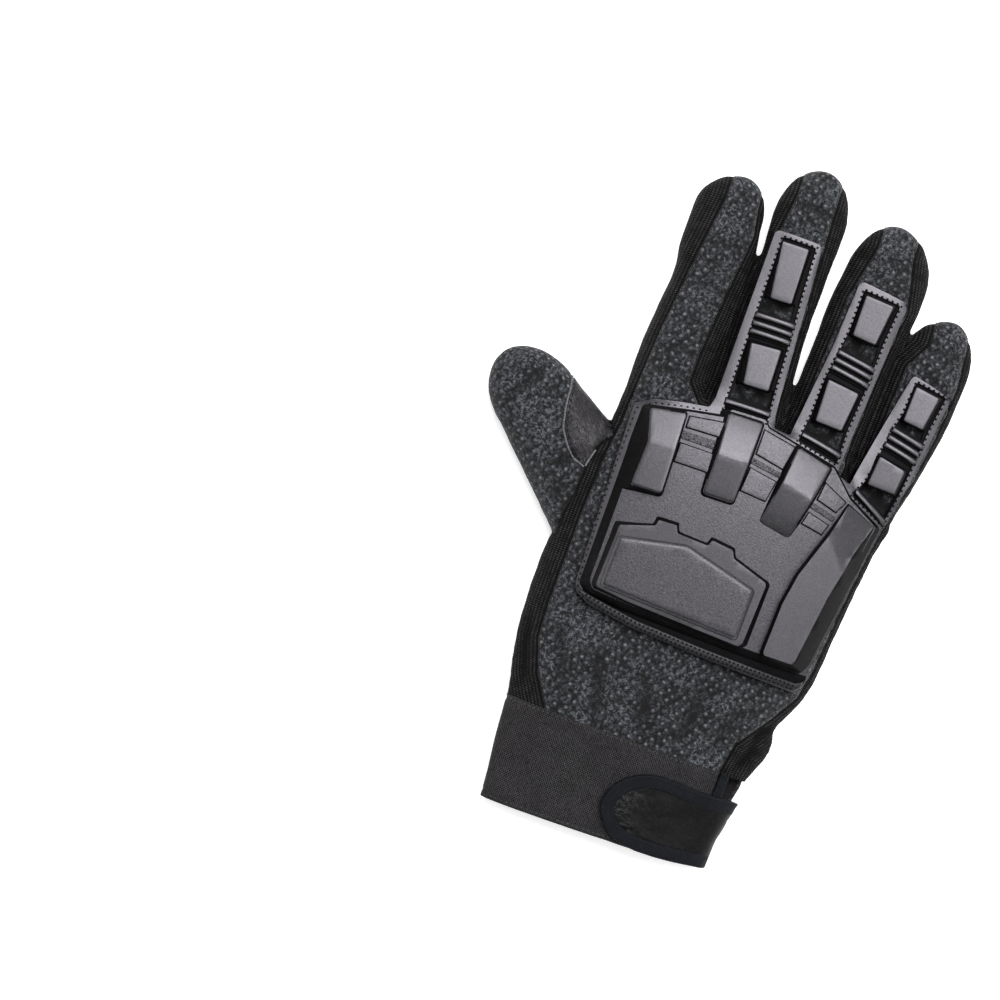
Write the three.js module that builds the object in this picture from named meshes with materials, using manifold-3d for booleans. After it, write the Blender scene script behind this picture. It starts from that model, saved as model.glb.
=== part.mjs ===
// Protective glove for the right hand, lying palm down and empty.
// Millimetres. +Y runs to the fingertips, +X to the little finger and +Z up, to the back of the hand.
// The origin lies on the surface under the middle of the palm.

import * as THREE from 'three';
import { mergeVertices } from 'three/addons/utils/BufferGeometryUtils.js';
import Module from 'manifold-3d';

const wasm = await Module();
wasm.setup();

// Rows of numbers under named columns
function table(names, rows) {
  const keys = names.split(' ');
  return rows.map((row) => Object.fromEntries(keys.map((key, i) => [key, row[i]])));
}

// Driving dimensions
const CLOTH = 1.8;
const LEATHER = 2.6;
const PATCH = 1.1;
const GAP = 0.3;
const SIDE = 6;
const CUFF_LINE = -71;
const CUFF_WALL = 1.9;

// Cutting tools reach from BENEATH to ABOVE, and past the glove on its other sides to these lines
const BENEATH = -5;
const ABOVE = 60;
const REACH = { left: -120, right: 90, wrist: -120, tips: 160 };

// How far each level of the knuckle guard stands over the cloth
const LEVEL = { flange: 1.8, bar: 3.2, field: 3.8, fingerBlock: 5.4, rim: 5.8, plate: 7.2, knuckle: 7.6 };

// The strap and its tape stand over the cuff by this much
const STRAP = 2;
const STRAP_TAPE = 2.8;

// A cross-section is a flat sole under a crowned back. They meet at the widest line, at height SIDE.
const CROWN = { power: 2.6, steps: 10 };
const FINGER_CROWN = { power: 3, steps: 6 };
const SOLE_FLAT = 0.71;
const SOLE_POWER = 5;

// Round fingertips: where the sections lie on a quarter turn from the last row to the tip
const TIP_TURNS = [0.4, 0.7, 0.92];
const TIP_TOP = SIDE + 3;
const TIP_SOLE = SIDE - 3.4;

// Sections of the cuff and hand. slant sets a section back towards the little finger, per millimetre
// past SLANT_FROM, because the web of the little finger lies lower than the others.
const SLANT_FROM = 6;
const WEB_FROM = 40;
const HAND = table('y left right top slant', [
  [-110, -49.2, 32.0, 13.0, 0],
  [-84, -51.6, 35.2, 14.0, 0],
  [-71, -52.9, 38.0, 15.0, 0],
  [-58, -55.4, 42.6, 16.6, 0],
  [-50, -56.8, 41.4, 17.8, 0],
  [-34, -58.4, 48.2, 19.4, 0],
  [-12, -58.2, 50.4, 20.8, 0],
  [20, -53.2, 53.0, 21.6, 0.05],
  [36, -51.2, 54.4, 20.8, 0.2],
  [47, -50.6, 55.6, 18.6, 0.33],
  [52, -49.4, 55.4, 13.0, 0.38],
]);

// The guard is stiff and spans the dips between the fingers: its underside follows these sections
const GUARD_SEAT = [...HAND.filter(({ y }) => y < WEB_FROM), ...table('y left right top slant', [
  [46, -50.6, 58.0, 19.4, 0.33],
  [54, -50.2, 59.0, 17.4, 0.38],
])];

// Sections of each finger, from inside the hand to where the round tip starts
const FINGERS = [
  {
    tip: { x: -34.8, y: 132.4 },
    rows: table('y left right top sole', [
      [36, -50.0, -20.2, 14.0, 1.5],
      [52, -50.6, -22.1, 17.2, 0],
      [92, -48.7, -22.0, 14.8, 0],
      [117, -50.3, -24.4, 13.6, 0],
    ]),
  },
  {
    tip: { x: -9.6, y: 144 },
    rows: table('y left right top sole', [
      [36, -23.6, 7.2, 19.0, 0],
      [56, -21.5, 5.8, 17.6, 0],
      [92, -21.1, 3.8, 15.0, 0],
      [125, -22.4, 4.6, 13.8, 0],
    ]),
  },
  {
    tip: { x: 22.2, y: 134.3 },
    rows: table('y left right top sole', [
      [30, 4.6, 33.4, 19.0, 0],
      [44, 5.6, 34.2, 18.2, 0],
      [60, 6.7, 35.6, 16.8, 0],
      [90, 7.4, 36.6, 14.8, 0],
      [114, 8.8, 39.2, 13.8, 0],
    ]),
  },
  {
    tip: { x: 52.2, y: 108.8 },
    rows: table('y left right top sole', [
      [22, 32.6, 52.4, 12.0, 1.5],
      [44, 34.6, 57.4, 16.2, 0],
      [60, 36.3, 60.6, 15.0, 0],
      [90, 37.3, 63.8, 13.2, 0],
    ]),
  },
];

// The thumb has rows of its own, along an axis that leaves the hand at THUMB.root
const THUMB = {
  root: { x: -55, y: 15 },
  turn: 55,
  tip: { x: 0.6, y: 50.4 },
  rows: table('y left right top sole', [
    [-20, -23.6, 17.0, 12.6, 0],
    [-9, -21.6, 17.0, 13.8, 0],
    [3, -19.6, 17.0, 14.4, 0],
    [17, -17.3, 16.7, 14.2, 0],
    [29, -15.4, 15.8, 13.8, 0],
  ]),
};

// At each fingertip the back and the front are sewn straight to each other, between these two sides
const TIP_SEAMS = table('left right from to', [
  [-40.4, -28.4, 122, 140],
  [-16.6, -2.4, 132, 152],
  [16.6, 29.6, 124, 142],
  [45.4, 58.8, 97, 116],
]);
const tipLeft = TIP_SEAMS.map(({ left, from, to }) => [[left, from], [left, to]]);
const tipRight = TIP_SEAMS.map(({ right, from, to }) => [[right, to], [right, from]]);

// Where a seam of the back and one of the palm side meet at the edge of the hand, on the way in
const THUMB_CROTCH = [[-54, 40], [-49, 29.2]];
const THUMB_TOP = [[-71.6, 51], [-69.2, 41]];
const THUMB_HEEL = [[-69.4, -7.4], [-61.4, 2]];
const STRIP_HEEL = [[-64, -11.4], [-55.6, -10.6]];

// The foot of the seam in the web between two fingers, on the back and on the palm side alike
const WEB_SEAMS = [
  [[-24.6, 49.4], [-19.2, 49.4]],
  [[3.4, 48.6], [8.8, 48.4]],
  [[32.2, 39.2], [37.6, 37.2]],
];

// Seams of the back, seen from above
const BACK_SEAM = [
  [-38.9, -75], [-38.9, -70], [-45.5, -59], [-49.4, -47], [-50.4, -35], [-50.2, 0], [-49.6, 21],
  [-47.9, 33], [-46.9, 52], [-45.7, 71], [-43.6, 95], ...tipLeft[0],
  ...tipRight[0], [-26.4, 113], [-28.6, 90], [-30.4, 67], [-30.6, 56], ...WEB_SEAMS[0],
  [-18.6, 60], [-18.6, 116], ...tipLeft[1],
  ...tipRight[1], [-1.4, 114], [0.6, 84], [2, 60], ...WEB_SEAMS[1], [10.6, 60],
  [12.6, 104], ...tipLeft[2],
  ...tipRight[2], [33.8, 106], [31.8, 80], [30.6, 50], ...WEB_SEAMS[2], [38.9, 50],
  [40.6, 88], ...tipLeft[3],
  ...tipRight[3], [60, 86], [58, 62], [51, 24], [48.2, 0], [46.4, -25],
  [44.4, -36], [35.7, -49.5], [28.6, -59], [27, -70], [27, -75],
];
const THUMB_SIDE_SEAM = [
  ...THUMB_CROTCH, [-52.6, 24.6], [-54.6, 17], [-55.2, 6], [-56.8, -6], ...STRIP_HEEL.toReversed(),
];
const THUMB_PIPING = [...THUMB_TOP, [-68.4, 33], [-66.8, 25.6], [-63.4, 20.4], [-59.6, 16.6], [-54.6, 15]];

// Seams of the palm side, seen from above
const WEDGE_SEAM = [
  [-27.4, -75], [-27.8, -62], [-29.3, -49], [-33.6, -38], [-41, -27], [-49, -14], [-54, -5],
  ...THUMB_HEEL.toReversed(),
];
const STRIP_SEAM = [[-44, -75], [-45, -40], [-47, -22], [-52, -14], ...STRIP_HEEL.toReversed()];
const GUSSET_SEAM = [
  ...THUMB_TOP, [-69.4, 33], [-65, 26.6], [-58, 23.4], [-48, 22], [-41, 22.4], [-38.8, 27],
];
const STRIP_END_SEAM = [...THUMB_CROTCH, [-44, 26.6], [-38.8, 27]];
const FINGER_FRONT_SEAMS = [
  [[-38.8, 27], [-41, 38], [-43, 52], [-44, 75], [-44, 100], ...tipLeft[0]],
  [
    ...tipRight[0], [-25.4, 110], [-25, 66], ...WEB_SEAMS[0], [-17.4, 66], [-15, 90], [-15.6, 116],
    ...tipLeft[1],
  ],
  [...tipRight[1], [1, 116], [2, 84], ...WEB_SEAMS[1], [9.6, 72], [10.8, 106], ...tipLeft[2]],
  [...tipRight[2], [33.6, 106], [31.2, 80], ...WEB_SEAMS[2], [39.2, 64], [42.2, 90], ...tipLeft[3]],
  [
    ...tipRight[3], [56, 84], [47.4, 42], [47.4, 20], [46.8, -20], [44.4, -34], [40.4, -44],
    [37, -54], [34.6, -75],
  ],
];

// Where a back and a front are sewn straight to each other, at the tips and round the thumb. This
// seam lies a little below the widest line.
const EDGE_LEVEL = SIDE - 0.8;
const EDGE_SEAMS = [
  ...tipLeft.map((line, i) => [...line, ...tipRight[i]]),
  [...THUMB_TOP, ...THUMB_HEEL.toReversed(), ...[THUMB_HEEL, THUMB_TOP].map(([[, y]]) => [REACH.left, y])],
];

// Outline of the palm patch: three petals at the heel of the hand and a tongue on each finger
const PATCH_OUTLINE = [
  [-37.2, 38], [-34.7, 23.5], [-26.7, 4.8], [-17.9, -10], [-11, -22.6], [-5.5, -26.4], [0.5, -27],
  [7.6, -23.6], [11, -17.6], [11.6, -10.4], [8.6, -4.6], [-7.4, 8.6], [8.4, 4.4], [10.2, -5],
  [13.6, -12], [19, -15.4], [26, -15.2], [31, -11], [32, -4], [28.4, 2.6], [20.5, 8.2], [3.7, 15],
  [21, 11.2], [32, 3], [38, 0.4], [42.6, 3.6], [43.6, 11], [40, 17], [31, 20], [5.4, 23.8], [5.4, 25],
  [38, 22.8], [43.6, 22.8], [45, 27], [45.4, 40], [48, 52], [42.4, 54], [39.4, 38], [35.2, 33.6],
  [30.8, 37], [28.6, 48], [26, 62], [13.6, 63], [11, 53], [9.8, 46.4], [6.1, 43.6],
  [2.4, 46.4], [0.6, 53], [-2, 67], [-12.6, 67], [-14.9, 54], [-17.4, 46.6], [-21, 44],
  [-24.6, 46.6], [-26.4, 53], [-28.8, 61], [-38.4, 60.6], [-37.8, 48],
];

// Knuckle guard, seen from above: the sewn flange with its three finger strips
const GUARD_FLANGE = [
  [-46.2, 42.4], [-40, 46], [-30, 48.3], [-21, 49.8], [-20, 54], [-19.9, 116.4], [-18.8, 117.4],
  [-3.4, 117.2], [-2.3, 115.8], [-0.9, 99], [1.8, 57], [2.8, 50.4], [9, 50], [10.2, 59.5],
  [12.8, 84], [14.2, 108.8], [15.4, 110.3], [31.4, 108.4], [33.2, 106.5], [32.2, 89.5],
  [30.2, 59.5], [29.2, 43], [34.8, 41], [38.3, 59.5], [43.1, 84.2], [44.1, 85.3], [57.6, 82],
  [58.7, 80], [56.8, 63], [54.8, 48], [51.6, 31], [49.4, 18], [47.4, 1], [44, -24], [43.8, -32.4],
  [41, -34.9], [5, -34], [-20, -32.7], [-37.7, -30], [-42.8, -27.4], [-44.2, -24],
];
const GUARD_FIELD = [
  [-42, 41.6], [-40.4, 43.4], [-26.6, 46.4], [-15.4, 48.4], [-13.6, 51.6], [-0.8, 52.4], [0.6, 50],
  [11.2, 48], [27.6, 44.8], [36.4, 36.6], [49.8, 30.4], [47.8, 14], [45.4, 1], [41.8, -25],
  [38, -28.4], [22, -28], [-24.9, -27.4], [-38.4, -26], [-42, -23.4],
];

// The blocks of the guard: level that each reaches and its outline
const GUARD_BLOCKS = [
  {
    level: 'knuckle',
    outline: [[-41, 42], [-39.5, 43.4], [-27.4, 45.6], [-26.5, 14], [-39.4, 12.2], [-41, 14]],
  },
  { level: 'knuckle', outline: [[-14.4, 50.8], [-1.2, 51.4], [-1.6, 19], [-14.4, 18.8]] },
  { level: 'knuckle', outline: [[13, 48], [27, 44.6], [20.8, 14.4], [8, 16.4]] },
  {
    level: 'knuckle',
    outline: [
      [36.2, 34.8], [50, 29.6], [43, 13.4], [40.8, -6], [38.8, -26], [24.4, -26], [24.6, -6], [29, 13.4],
    ],
  },
  {
    level: 'rim',
    outline: [
      [-39.2, 0.6], [-26, 4.6], [-25.4, 7.4], [-17.4, 7.8], [-16.2, 5], [-6, 4.6], [-5.2, 7.2], [4, 6.2],
      [5.3, 3.4], [19.6, -1.2], [19.8, -25.4], [16.6, -27], [-24.9, -25], [-37.7, -23.6], [-39.4, -22],
    ],
  },
  { level: 'plate', outline: [[-36.3, -3.4], [-12, 1.6], [15.5, -5.2], [15.5, -24.9], [-36.6, -22.7]] },
  { level: 'fingerBlock', outline: [[-16.6, 115.2], [-5, 115.2], [-4.4, 95], [-13.4, 95]] },
  { level: 'fingerBlock', outline: [[-15.2, 77.4], [-2.2, 78], [-1.9, 63.2], [-13, 62.4]] },
  { level: 'fingerBlock', outline: [[17.6, 107.4], [30.2, 106.4], [28.4, 92], [17.6, 92.6]] },
  { level: 'fingerBlock', outline: [[15, 74.6], [28.6, 73], [27, 59], [15.2, 59.4]] },
  { level: 'fingerBlock', outline: [[45.4, 83], [56.6, 81.2], [54.2, 70], [45, 70.6]] },
  { level: 'fingerBlock', outline: [[41.8, 55.2], [53.4, 53], [52.2, 44.6], [40.6, 45]] },
];

// Narrow pads that bridge the field between the knuckle blocks
const GUARD_PADS = [
  [[-25.4, 39.4], [-15.6, 39.6], [-15.6, 46.4], [-25.4, 44.6]],
  [[-25.4, 26.6], [-15.6, 26.8], [-15.6, 35], [-25.4, 34.8]],
  [[-0.2, 38.7], [9.2, 36.8], [11, 47.2], [0.2, 49.2]],
  [[-1.4, 25], [7.4, 24.3], [9, 33.5], [-0.7, 35]],
  [[25.3, 31], [31.9, 29.3], [34.8, 35], [26.4, 39]],
  [[22.8, 21.4], [30.1, 20.1], [31.6, 25.5], [24.1, 27.3]],
];

// The ribs across each finger strip: first rib, last rib, and how many lie between their places
const GUARD_RIBS = [
  { from: [[-15.1, 86.2], [-3.2, 86.4]], to: [[-14.9, 80.2], [-2.8, 80.4]], count: 3 },
  { from: [[-15.8, 54], [-0.6, 54]], to: [[-15.8, 54], [-0.6, 54]], count: 1 },
  { from: [[16.6, 83.2], [28.6, 81.7]], to: [[16.4, 77.4], [28.3, 75.8]], count: 3 },
  { from: [[13.3, 51.8], [27.9, 48.8]], to: [[13.3, 51.8], [27.9, 48.8]], count: 1 },
  { from: [[43.4, 64.4], [54, 62.4]], to: [[42.8, 58.6], [53.6, 56.3]], count: 3 },
  { from: [[38.2, 39.2], [50.4, 33.2]], to: [[38.2, 39.2], [50.4, 33.2]], count: 1 },
];
const RIB_HALF = 0.9;

// Windows right through the finger strips, between a block and its ribs
const GUARD_WINDOWS = [
  [[-14.8, 94.6], [-4.8, 94.6], [-4.6, 88.8], [-14.8, 88.8]],
  [[-14, 62.2], [-0.8, 62.8], [-0.5, 56.6], [-14, 56.6]],
  [[16.8, 91.6], [28, 91], [28, 85], [16.8, 85.6]],
  [[14.2, 58.8], [26.8, 58.4], [27, 52.6], [14.2, 54.4]],
  [[43.8, 69.6], [53.8, 69], [53.6, 65.4], [43.6, 66.2]],
  [[39.6, 44.2], [50.8, 43.6], [50.4, 37], [39.4, 41.4]],
];

// Cuff, slit and strap, seen from above
const CUFF_TOP = CUFF_LINE - GAP / 2;
const CUFF_HEM = [[-62, -108.2], [-8, -106.9], [29, -105.4], [45, -105.2]];
const SLIT = { tapeFrom: 27.4, from: 31.4, under: SIDE - 1 };
const STRAP_END = { x: 4, y: -92.1, across: 13, along: 12.8, steps: 10, far: 60 };
const STRAP_PALM_EDGE = 31;
const TAPE_WIDTH = 4.6;
const STRAP_SKEW = -0.02;

// Points of a cross-section, from the right edge over the back to the left edge and under the sole
function section({ left, right, top, sole = 0 }, wall, floor, crown) {
  const middle = (left + right) / 2;
  const half = (right - left) / 2 - wall;
  const shares = Array.from({ length: crown.steps + 1 }, (_, i) => Math.cos((Math.PI * i) / crown.steps));
  const rise = (share) => Math.sqrt(Math.max(0, 1 - share ** crown.power));
  const drop = (share) => (share < SOLE_FLAT ? 1 : Math.sqrt(1 - share ** SOLE_POWER));
  const back = shares.map((share) => [
    middle + half * share, SIDE + (top - wall - SIDE) * rise(Math.abs(share)),
  ]);
  const under = shares.slice(1, -1).reverse().map((share) => [
    middle + half * share, SIDE - (SIDE - sole - floor) * drop(Math.abs(share)),
  ]);
  return [...back, ...under];
}

// A closed solid through sections along Y. Each end is closed from its back edge to its sole edge.
function loft(rows, wall, floor, crown) {
  const rings = rows.map((row) => section(row, wall, floor, crown).map(([x, z]) => [
    x, row.y - (row.slant ?? 0) * Math.max(0, x - SLANT_FROM), z,
  ]));
  const size = rings[0].length;
  const triangles = [];
  for (let ring = 0; ring + 1 < rings.length; ring += 1) {
    for (let i = 0; i < size; i += 1) {
      const a = ring * size + i;
      const b = ring * size + ((i + 1) % size);
      triangles.push(a, a + size, b, b, a + size, b + size);
    }
  }
  const last = (rings.length - 1) * size;
  for (let i = 0; i < crown.steps; i += 1) {
    const below = (size - i) % size;
    const next = size - i - 1;
    triangles.push(i, i + 1, next, last + i, last + next, last + i + 1);
    if (i > 0) {
      triangles.push(i, next, below, last + i, last + below, last + next);
    }
  }
  return solidOf(rings.flat(2), triangles.filter((_, i) => notFlat(triangles, i)));
}

// False for the corners of a triangle that repeats one of its corners
function notFlat(triangles, i) {
  const start = i - (i % 3);
  return new Set(triangles.slice(start, start + 3)).size === 3;
}

function solidOf(positions, triangles) {
  return new wasm.Manifold(new wasm.Mesh({
    numProp: 3,
    vertProperties: Float32Array.from(positions),
    triVerts: Uint32Array.from(triangles),
  }));
}

// The rows of a finger with its round tip added
function withTip(rows, tip) {
  const last = rows.at(-1);
  const { lerp } = THREE.MathUtils;
  const ends = TIP_TURNS.map((turn) => {
    const near = Math.cos((turn * Math.PI) / 2);
    return {
      y: lerp(last.y, tip.y, Math.sin((turn * Math.PI) / 2)),
      left: lerp(tip.x, last.left, near),
      right: lerp(tip.x, last.right, near),
      top: lerp(TIP_TOP, last.top, near),
      sole: lerp(TIP_SOLE, 0, near),
    };
  });
  return [...rows, ...ends];
}

function movedBack(tip, wall) {
  return { x: tip.x, y: tip.y - wall };
}

// The whole soft form, taken in by wall on the back and sides and by floor on the sole
function form(wall, floor, sections = HAND) {
  const hand = sections.map((row) => ({ ...row, y: row.y > WEB_FROM ? row.y - wall : row.y }));
  const fingers = FINGERS.map(({ rows, tip }) => (
    loft(withTip(rows, movedBack(tip, wall)), wall, floor, FINGER_CROWN)
  ));
  const thumb = loft(withTip(THUMB.rows, movedBack(THUMB.tip, wall)), wall, floor, FINGER_CROWN)
    .rotate([0, 0, THUMB.turn])
    .translate([THUMB.root.x, THUMB.root.y, 0]);
  return wasm.Manifold.union([loft(hand, wall, floor, CROWN), ...fingers, thumb]);
}

// A vertical prism over an outline
function prism(outline, from = BENEATH, to = ABOVE) {
  const shape = new THREE.Shape(outline.map(([x, y]) => new THREE.Vector2(x, y)));
  const geometry = new THREE.ExtrudeGeometry(shape, { depth: to - from, bevelEnabled: false });
  geometry.translate(0, 0, from);
  geometry.deleteAttribute('normal');
  geometry.deleteAttribute('uv');
  const merged = mergeVertices(geometry, 1e-5);
  return solidOf(merged.attributes.position.array, merged.index.array);
}

function block(x0, x1, y0, y1, from = BENEATH, to = ABOVE) {
  return prism([[x0, y0], [x1, y0], [x1, y1], [x0, y1]], from, to);
}

// A thin vertical wall along a line, as wide as the gap between two sewn pieces
function ribbon(line, from, to, half = GAP / 2, closed = false) {
  const points = line.map(([x, y]) => new THREE.Vector2(x, y));
  const count = points.length;
  const side = points.map((point, i) => {
    const before = points[closed ? (i + count - 1) % count : Math.max(i - 1, 0)];
    const after = points[closed ? (i + 1) % count : Math.min(i + 1, count - 1)];
    const into = point.clone().sub(before).normalize();
    const out = after.clone().sub(point).normalize();
    const along = into.clone().add(out).normalize();
    const stretch = 1 / Math.max(0.3, into.length() > 0 ? along.dot(into) : along.dot(out));
    return new THREE.Vector2(-along.y, along.x).multiplyScalar(half * stretch);
  });
  const pieces = [];
  for (let i = 0; i + (closed ? 0 : 1) < count; i += 1) {
    const j = (i + 1) % count;
    const corners = [
      points[i].clone().sub(side[i]), points[j].clone().sub(side[j]),
      points[j].clone().add(side[j]), points[i].clone().add(side[i]),
    ];
    pieces.push(prism(corners.map((corner) => [corner.x, corner.y]), from, to));
  }
  return wasm.Manifold.union(pieces);
}

// The piece of a cut shell that fills most of a small box round a point
function pieceAt(pieces, [x, y, z]) {
  const size = 1.2;
  const marker = block(x - size, x + size, y - size, y + size, z - size, z + size);
  const held = pieces.map((piece) => piece.intersect(marker).volume());
  return pieces[held.indexOf(Math.max(...held))];
}

const outer = form(0, 0);
const inner = form(CLOTH, LEATHER);

// Hand, fingers and thumb as one hollow shell, cut along the seams into its panels
function handPanels() {
  const front = block(REACH.left, REACH.right, CUFF_LINE + GAP / 2, REACH.tips);
  const shell = outer.intersect(front).subtract(inner);
  const over = SIDE - GAP / 2;
  const backSeams = [BACK_SEAM, THUMB_SIDE_SEAM, THUMB_PIPING];
  const frontSeams = [
    WEDGE_SEAM, STRIP_SEAM, GUSSET_SEAM, STRIP_END_SEAM, ...FINGER_FRONT_SEAMS,
  ];
  const cuts = [
    ...backSeams.map((line) => ribbon(line, over, ABOVE)),
    ...frontSeams.map((line) => ribbon(line, BENEATH, SIDE + GAP / 2)),
    ...EDGE_SEAMS.map((area) => prism(area, EDGE_LEVEL - GAP / 2, EDGE_LEVEL + GAP / 2)),
  ];
  return shell.subtract(wasm.Manifold.union(cuts)).decompose();
}

const panels = handPanels();
const patchArea = prism(PATCH_OUTLINE, BENEATH, SIDE);

function palmLeather() {
  const recess = patchArea.subtract(form(2 * GAP, PATCH + GAP));
  return pieceAt(panels, [0, -40, 1.5]).subtract(recess);
}

function palmPatch() {
  const edge = ribbon(PATCH_OUTLINE, BENEATH, SIDE, GAP, true);
  return outer.intersect(patchArea).subtract(form(GAP, PATCH)).subtract(edge);
}

// A narrow rib along a line
function ribBetween([from, to]) {
  const along = new THREE.Vector2(to[0] - from[0], to[1] - from[1]).normalize();
  const across = [-along.y * RIB_HALF, along.x * RIB_HALF];
  return prism([
    [from[0] - across[0], from[1] - across[1]], [to[0] - across[0], to[1] - across[1]],
    [to[0] + across[0], to[1] + across[1]], [from[0] + across[0], from[1] + across[1]],
  ], SIDE);
}

function ribs({ from, to, count }) {
  const between = (a, b, share) => a.map((value, axis) => THREE.MathUtils.lerp(value, b[axis], share));
  return Array.from({ length: count }, (_, i) => {
    const share = count > 1 ? i / (count - 1) : 0;
    return ribBetween([between(from[0], to[0], share), between(from[1], to[1], share)]);
  });
}

function knuckleGuard() {
  const raised = (rise) => form(-rise, 0, GUARD_SEAT);
  const over = Object.fromEntries(Object.entries(LEVEL).map(([name, rise]) => [name, raised(rise)]));
  const solids = [
    prism(GUARD_FLANGE, SIDE).intersect(over.flange),
    prism(GUARD_FIELD, SIDE).intersect(over.field),
    ...GUARD_BLOCKS.map(({ level, outline }) => prism(outline, SIDE).intersect(over[level])),
    wasm.Manifold.union(GUARD_PADS.map((outline) => prism(outline, SIDE))).intersect(over.fingerBlock),
    wasm.Manifold.union(GUARD_RIBS.flatMap(ribs)).intersect(over.bar),
  ];
  const windows = GUARD_WINDOWS.map((outline) => prism(outline));
  return wasm.Manifold.union(solids).subtract(wasm.Manifold.union([raised(GAP), ...windows]));
}

// Cuff, slit tape, strap and strap tape, all from the same tube
function cuffTube(grow) {
  return loft(HAND, -grow, -grow, CROWN);
}

const hem = prism([...CUFF_HEM, [CUFF_HEM.at(-1)[0], CUFF_TOP], [CUFF_HEM[0][0], CUFF_TOP]]);

// The tube of the cuff, open at both ends
function cuffWall() {
  const [first, ...rest] = HAND;
  const hollow = loft([{ ...first, y: REACH.wrist }, ...rest], CUFF_WALL, CUFF_WALL, CROWN);
  return outer.intersect(hem).subtract(hollow);
}

function cuffBand() {
  return cuffWall().subtract(block(SLIT.tapeFrom - GAP, REACH.right, REACH.wrist, REACH.tips, SLIT.under));
}

function slitBinding() {
  return cuffWall().intersect(block(SLIT.tapeFrom, SLIT.from, REACH.wrist, REACH.tips, SIDE));
}

// Outline of the strap from its round end to past the side of the cuff, taken in by inset
function strapOutline(inset) {
  const { x, y, across, along, steps, far } = STRAP_END;
  const round = Array.from({ length: steps + 1 }, (_, i) => {
    const turn = Math.PI * (0.5 + i / steps);
    return [x + (along - inset) * Math.cos(turn), y + (across - inset) * Math.sin(turn)];
  });
  const rise = (far - x) * STRAP_SKEW;
  return [...round, [far, y - across + inset - rise], [far, y + across - inset + rise]];
}

// A layer of the strap lies on the back of the cuff and runs round its side to STRAP_PALM_EDGE
function strapLayer(grow, outline) {
  const palmSide = block(REACH.left, STRAP_PALM_EDGE, REACH.wrist, REACH.tips, BENEATH, SIDE);
  return cuffTube(grow).intersect(prism(outline, 0)).subtract(cuffTube(GAP)).subtract(palmSide);
}

function strap() {
  return strapLayer(STRAP, strapOutline(TAPE_WIDTH + GAP));
}

function strapBinding() {
  return strapLayer(STRAP_TAPE, strapOutline(0)).subtract(prism(strapOutline(TAPE_WIDTH)));
}

const COLOURS = {
  leather: { color: 0x3a393d, roughness: 0.55, metalness: 0 },
  knit: { color: 0x2b2d31, roughness: 0.95, metalness: 0 },
  ribbed: { color: 0x2a2826, roughness: 0.95, metalness: 0 },
  guard: { color: 0x4a484c, roughness: 0.45, metalness: 0 },
  elastic: { color: 0x2c2b2d, roughness: 0.9, metalness: 0 },
  tape: { color: 0x22252e, roughness: 0.8, metalness: 0 },
};

// Each node with its solid and its material
const nodes = [
  ['palm_leather', palmLeather(), 'leather'],
  ['palm_patch', palmPatch(), 'leather'],
  ['back_panel', pieceAt(panels, [0, -50, 16]), 'knit'],
  ['thumb_back', pieceAt(panels, [-88, 36, 12.5]), 'knit'],
  ['thumb_gusset', pieceAt(panels, [-61, 28, 13]), 'leather'],
  ['index_side_gusset', pieceAt(panels, [-50, 80, 6]), 'ribbed'],
  ['index_middle_fourchette', pieceAt(panels, [-22.6, 80, 6]), 'ribbed'],
  ['middle_ring_fourchette', pieceAt(panels, [4.4, 80, 6]), 'ribbed'],
  ['ring_little_fourchette', pieceAt(panels, [35.4, 80, 6]), 'ribbed'],
  ['little_side_gusset', pieceAt(panels, [62, 80, 6]), 'ribbed'],
  ['knuckle_guard', knuckleGuard(), 'guard'],
  ['cuff_band', cuffBand(), 'elastic'],
  ['slit_binding', slitBinding(), 'tape'],
  ['strap', strap(), 'leather'],
  ['strap_binding', strapBinding(), 'tape'],
];

function meshOf([name, solid, material]) {
  const { vertProperties, triVerts } = solid.getMesh();
  const geometry = new THREE.BufferGeometry();
  geometry.setAttribute('position', new THREE.BufferAttribute(vertProperties, 3));
  geometry.setIndex(new THREE.BufferAttribute(triVerts, 1));
  const mesh = new THREE.Mesh(geometry, new THREE.MeshStandardMaterial(COLOURS[material]));
  mesh.name = name;
  return mesh;
}

const glove = new THREE.Group();
glove.add(...nodes.map(meshOf));

export default glove;
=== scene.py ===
# %% [markdown]
# A protective glove for the right hand, lying palm down on a pale table. Its maker sews it from a
# leather palm, a dotted knit back and ribbed side strips, and sews a moulded guard over the knuckles.
# Everything is in metres inside Blender, but a glove maker thinks in millimetres, so the tables
# below are in millimetres and one constant turns them into metres.

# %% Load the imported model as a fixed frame
import math

import bmesh
import bpy
import numpy as np
from mathutils import Matrix, Vector, noise
from mathutils.bvhtree import BVHTree
from mathutils.kdtree import KDTree


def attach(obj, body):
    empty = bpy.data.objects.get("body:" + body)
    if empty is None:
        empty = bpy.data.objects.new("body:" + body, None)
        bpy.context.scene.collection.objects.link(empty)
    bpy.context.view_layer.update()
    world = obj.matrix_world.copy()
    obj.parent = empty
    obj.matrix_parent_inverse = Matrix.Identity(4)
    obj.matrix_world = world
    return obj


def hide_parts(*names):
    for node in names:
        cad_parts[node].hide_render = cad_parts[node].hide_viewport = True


MM = 0.001
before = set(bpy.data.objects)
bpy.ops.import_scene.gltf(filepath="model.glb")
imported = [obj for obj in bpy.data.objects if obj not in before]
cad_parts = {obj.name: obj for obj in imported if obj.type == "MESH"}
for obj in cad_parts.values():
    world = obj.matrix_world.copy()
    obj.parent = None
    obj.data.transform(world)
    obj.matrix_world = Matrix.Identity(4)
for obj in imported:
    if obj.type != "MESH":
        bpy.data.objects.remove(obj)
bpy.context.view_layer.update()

# %% [markdown]
# The camera comes first. The photograph was taken from straight above, and its frame is turned by 20
# degrees against the fingers. A camera 700 mm up sees the glove at the size that the photograph
# gives it, which is 355 mm across the frame.

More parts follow.
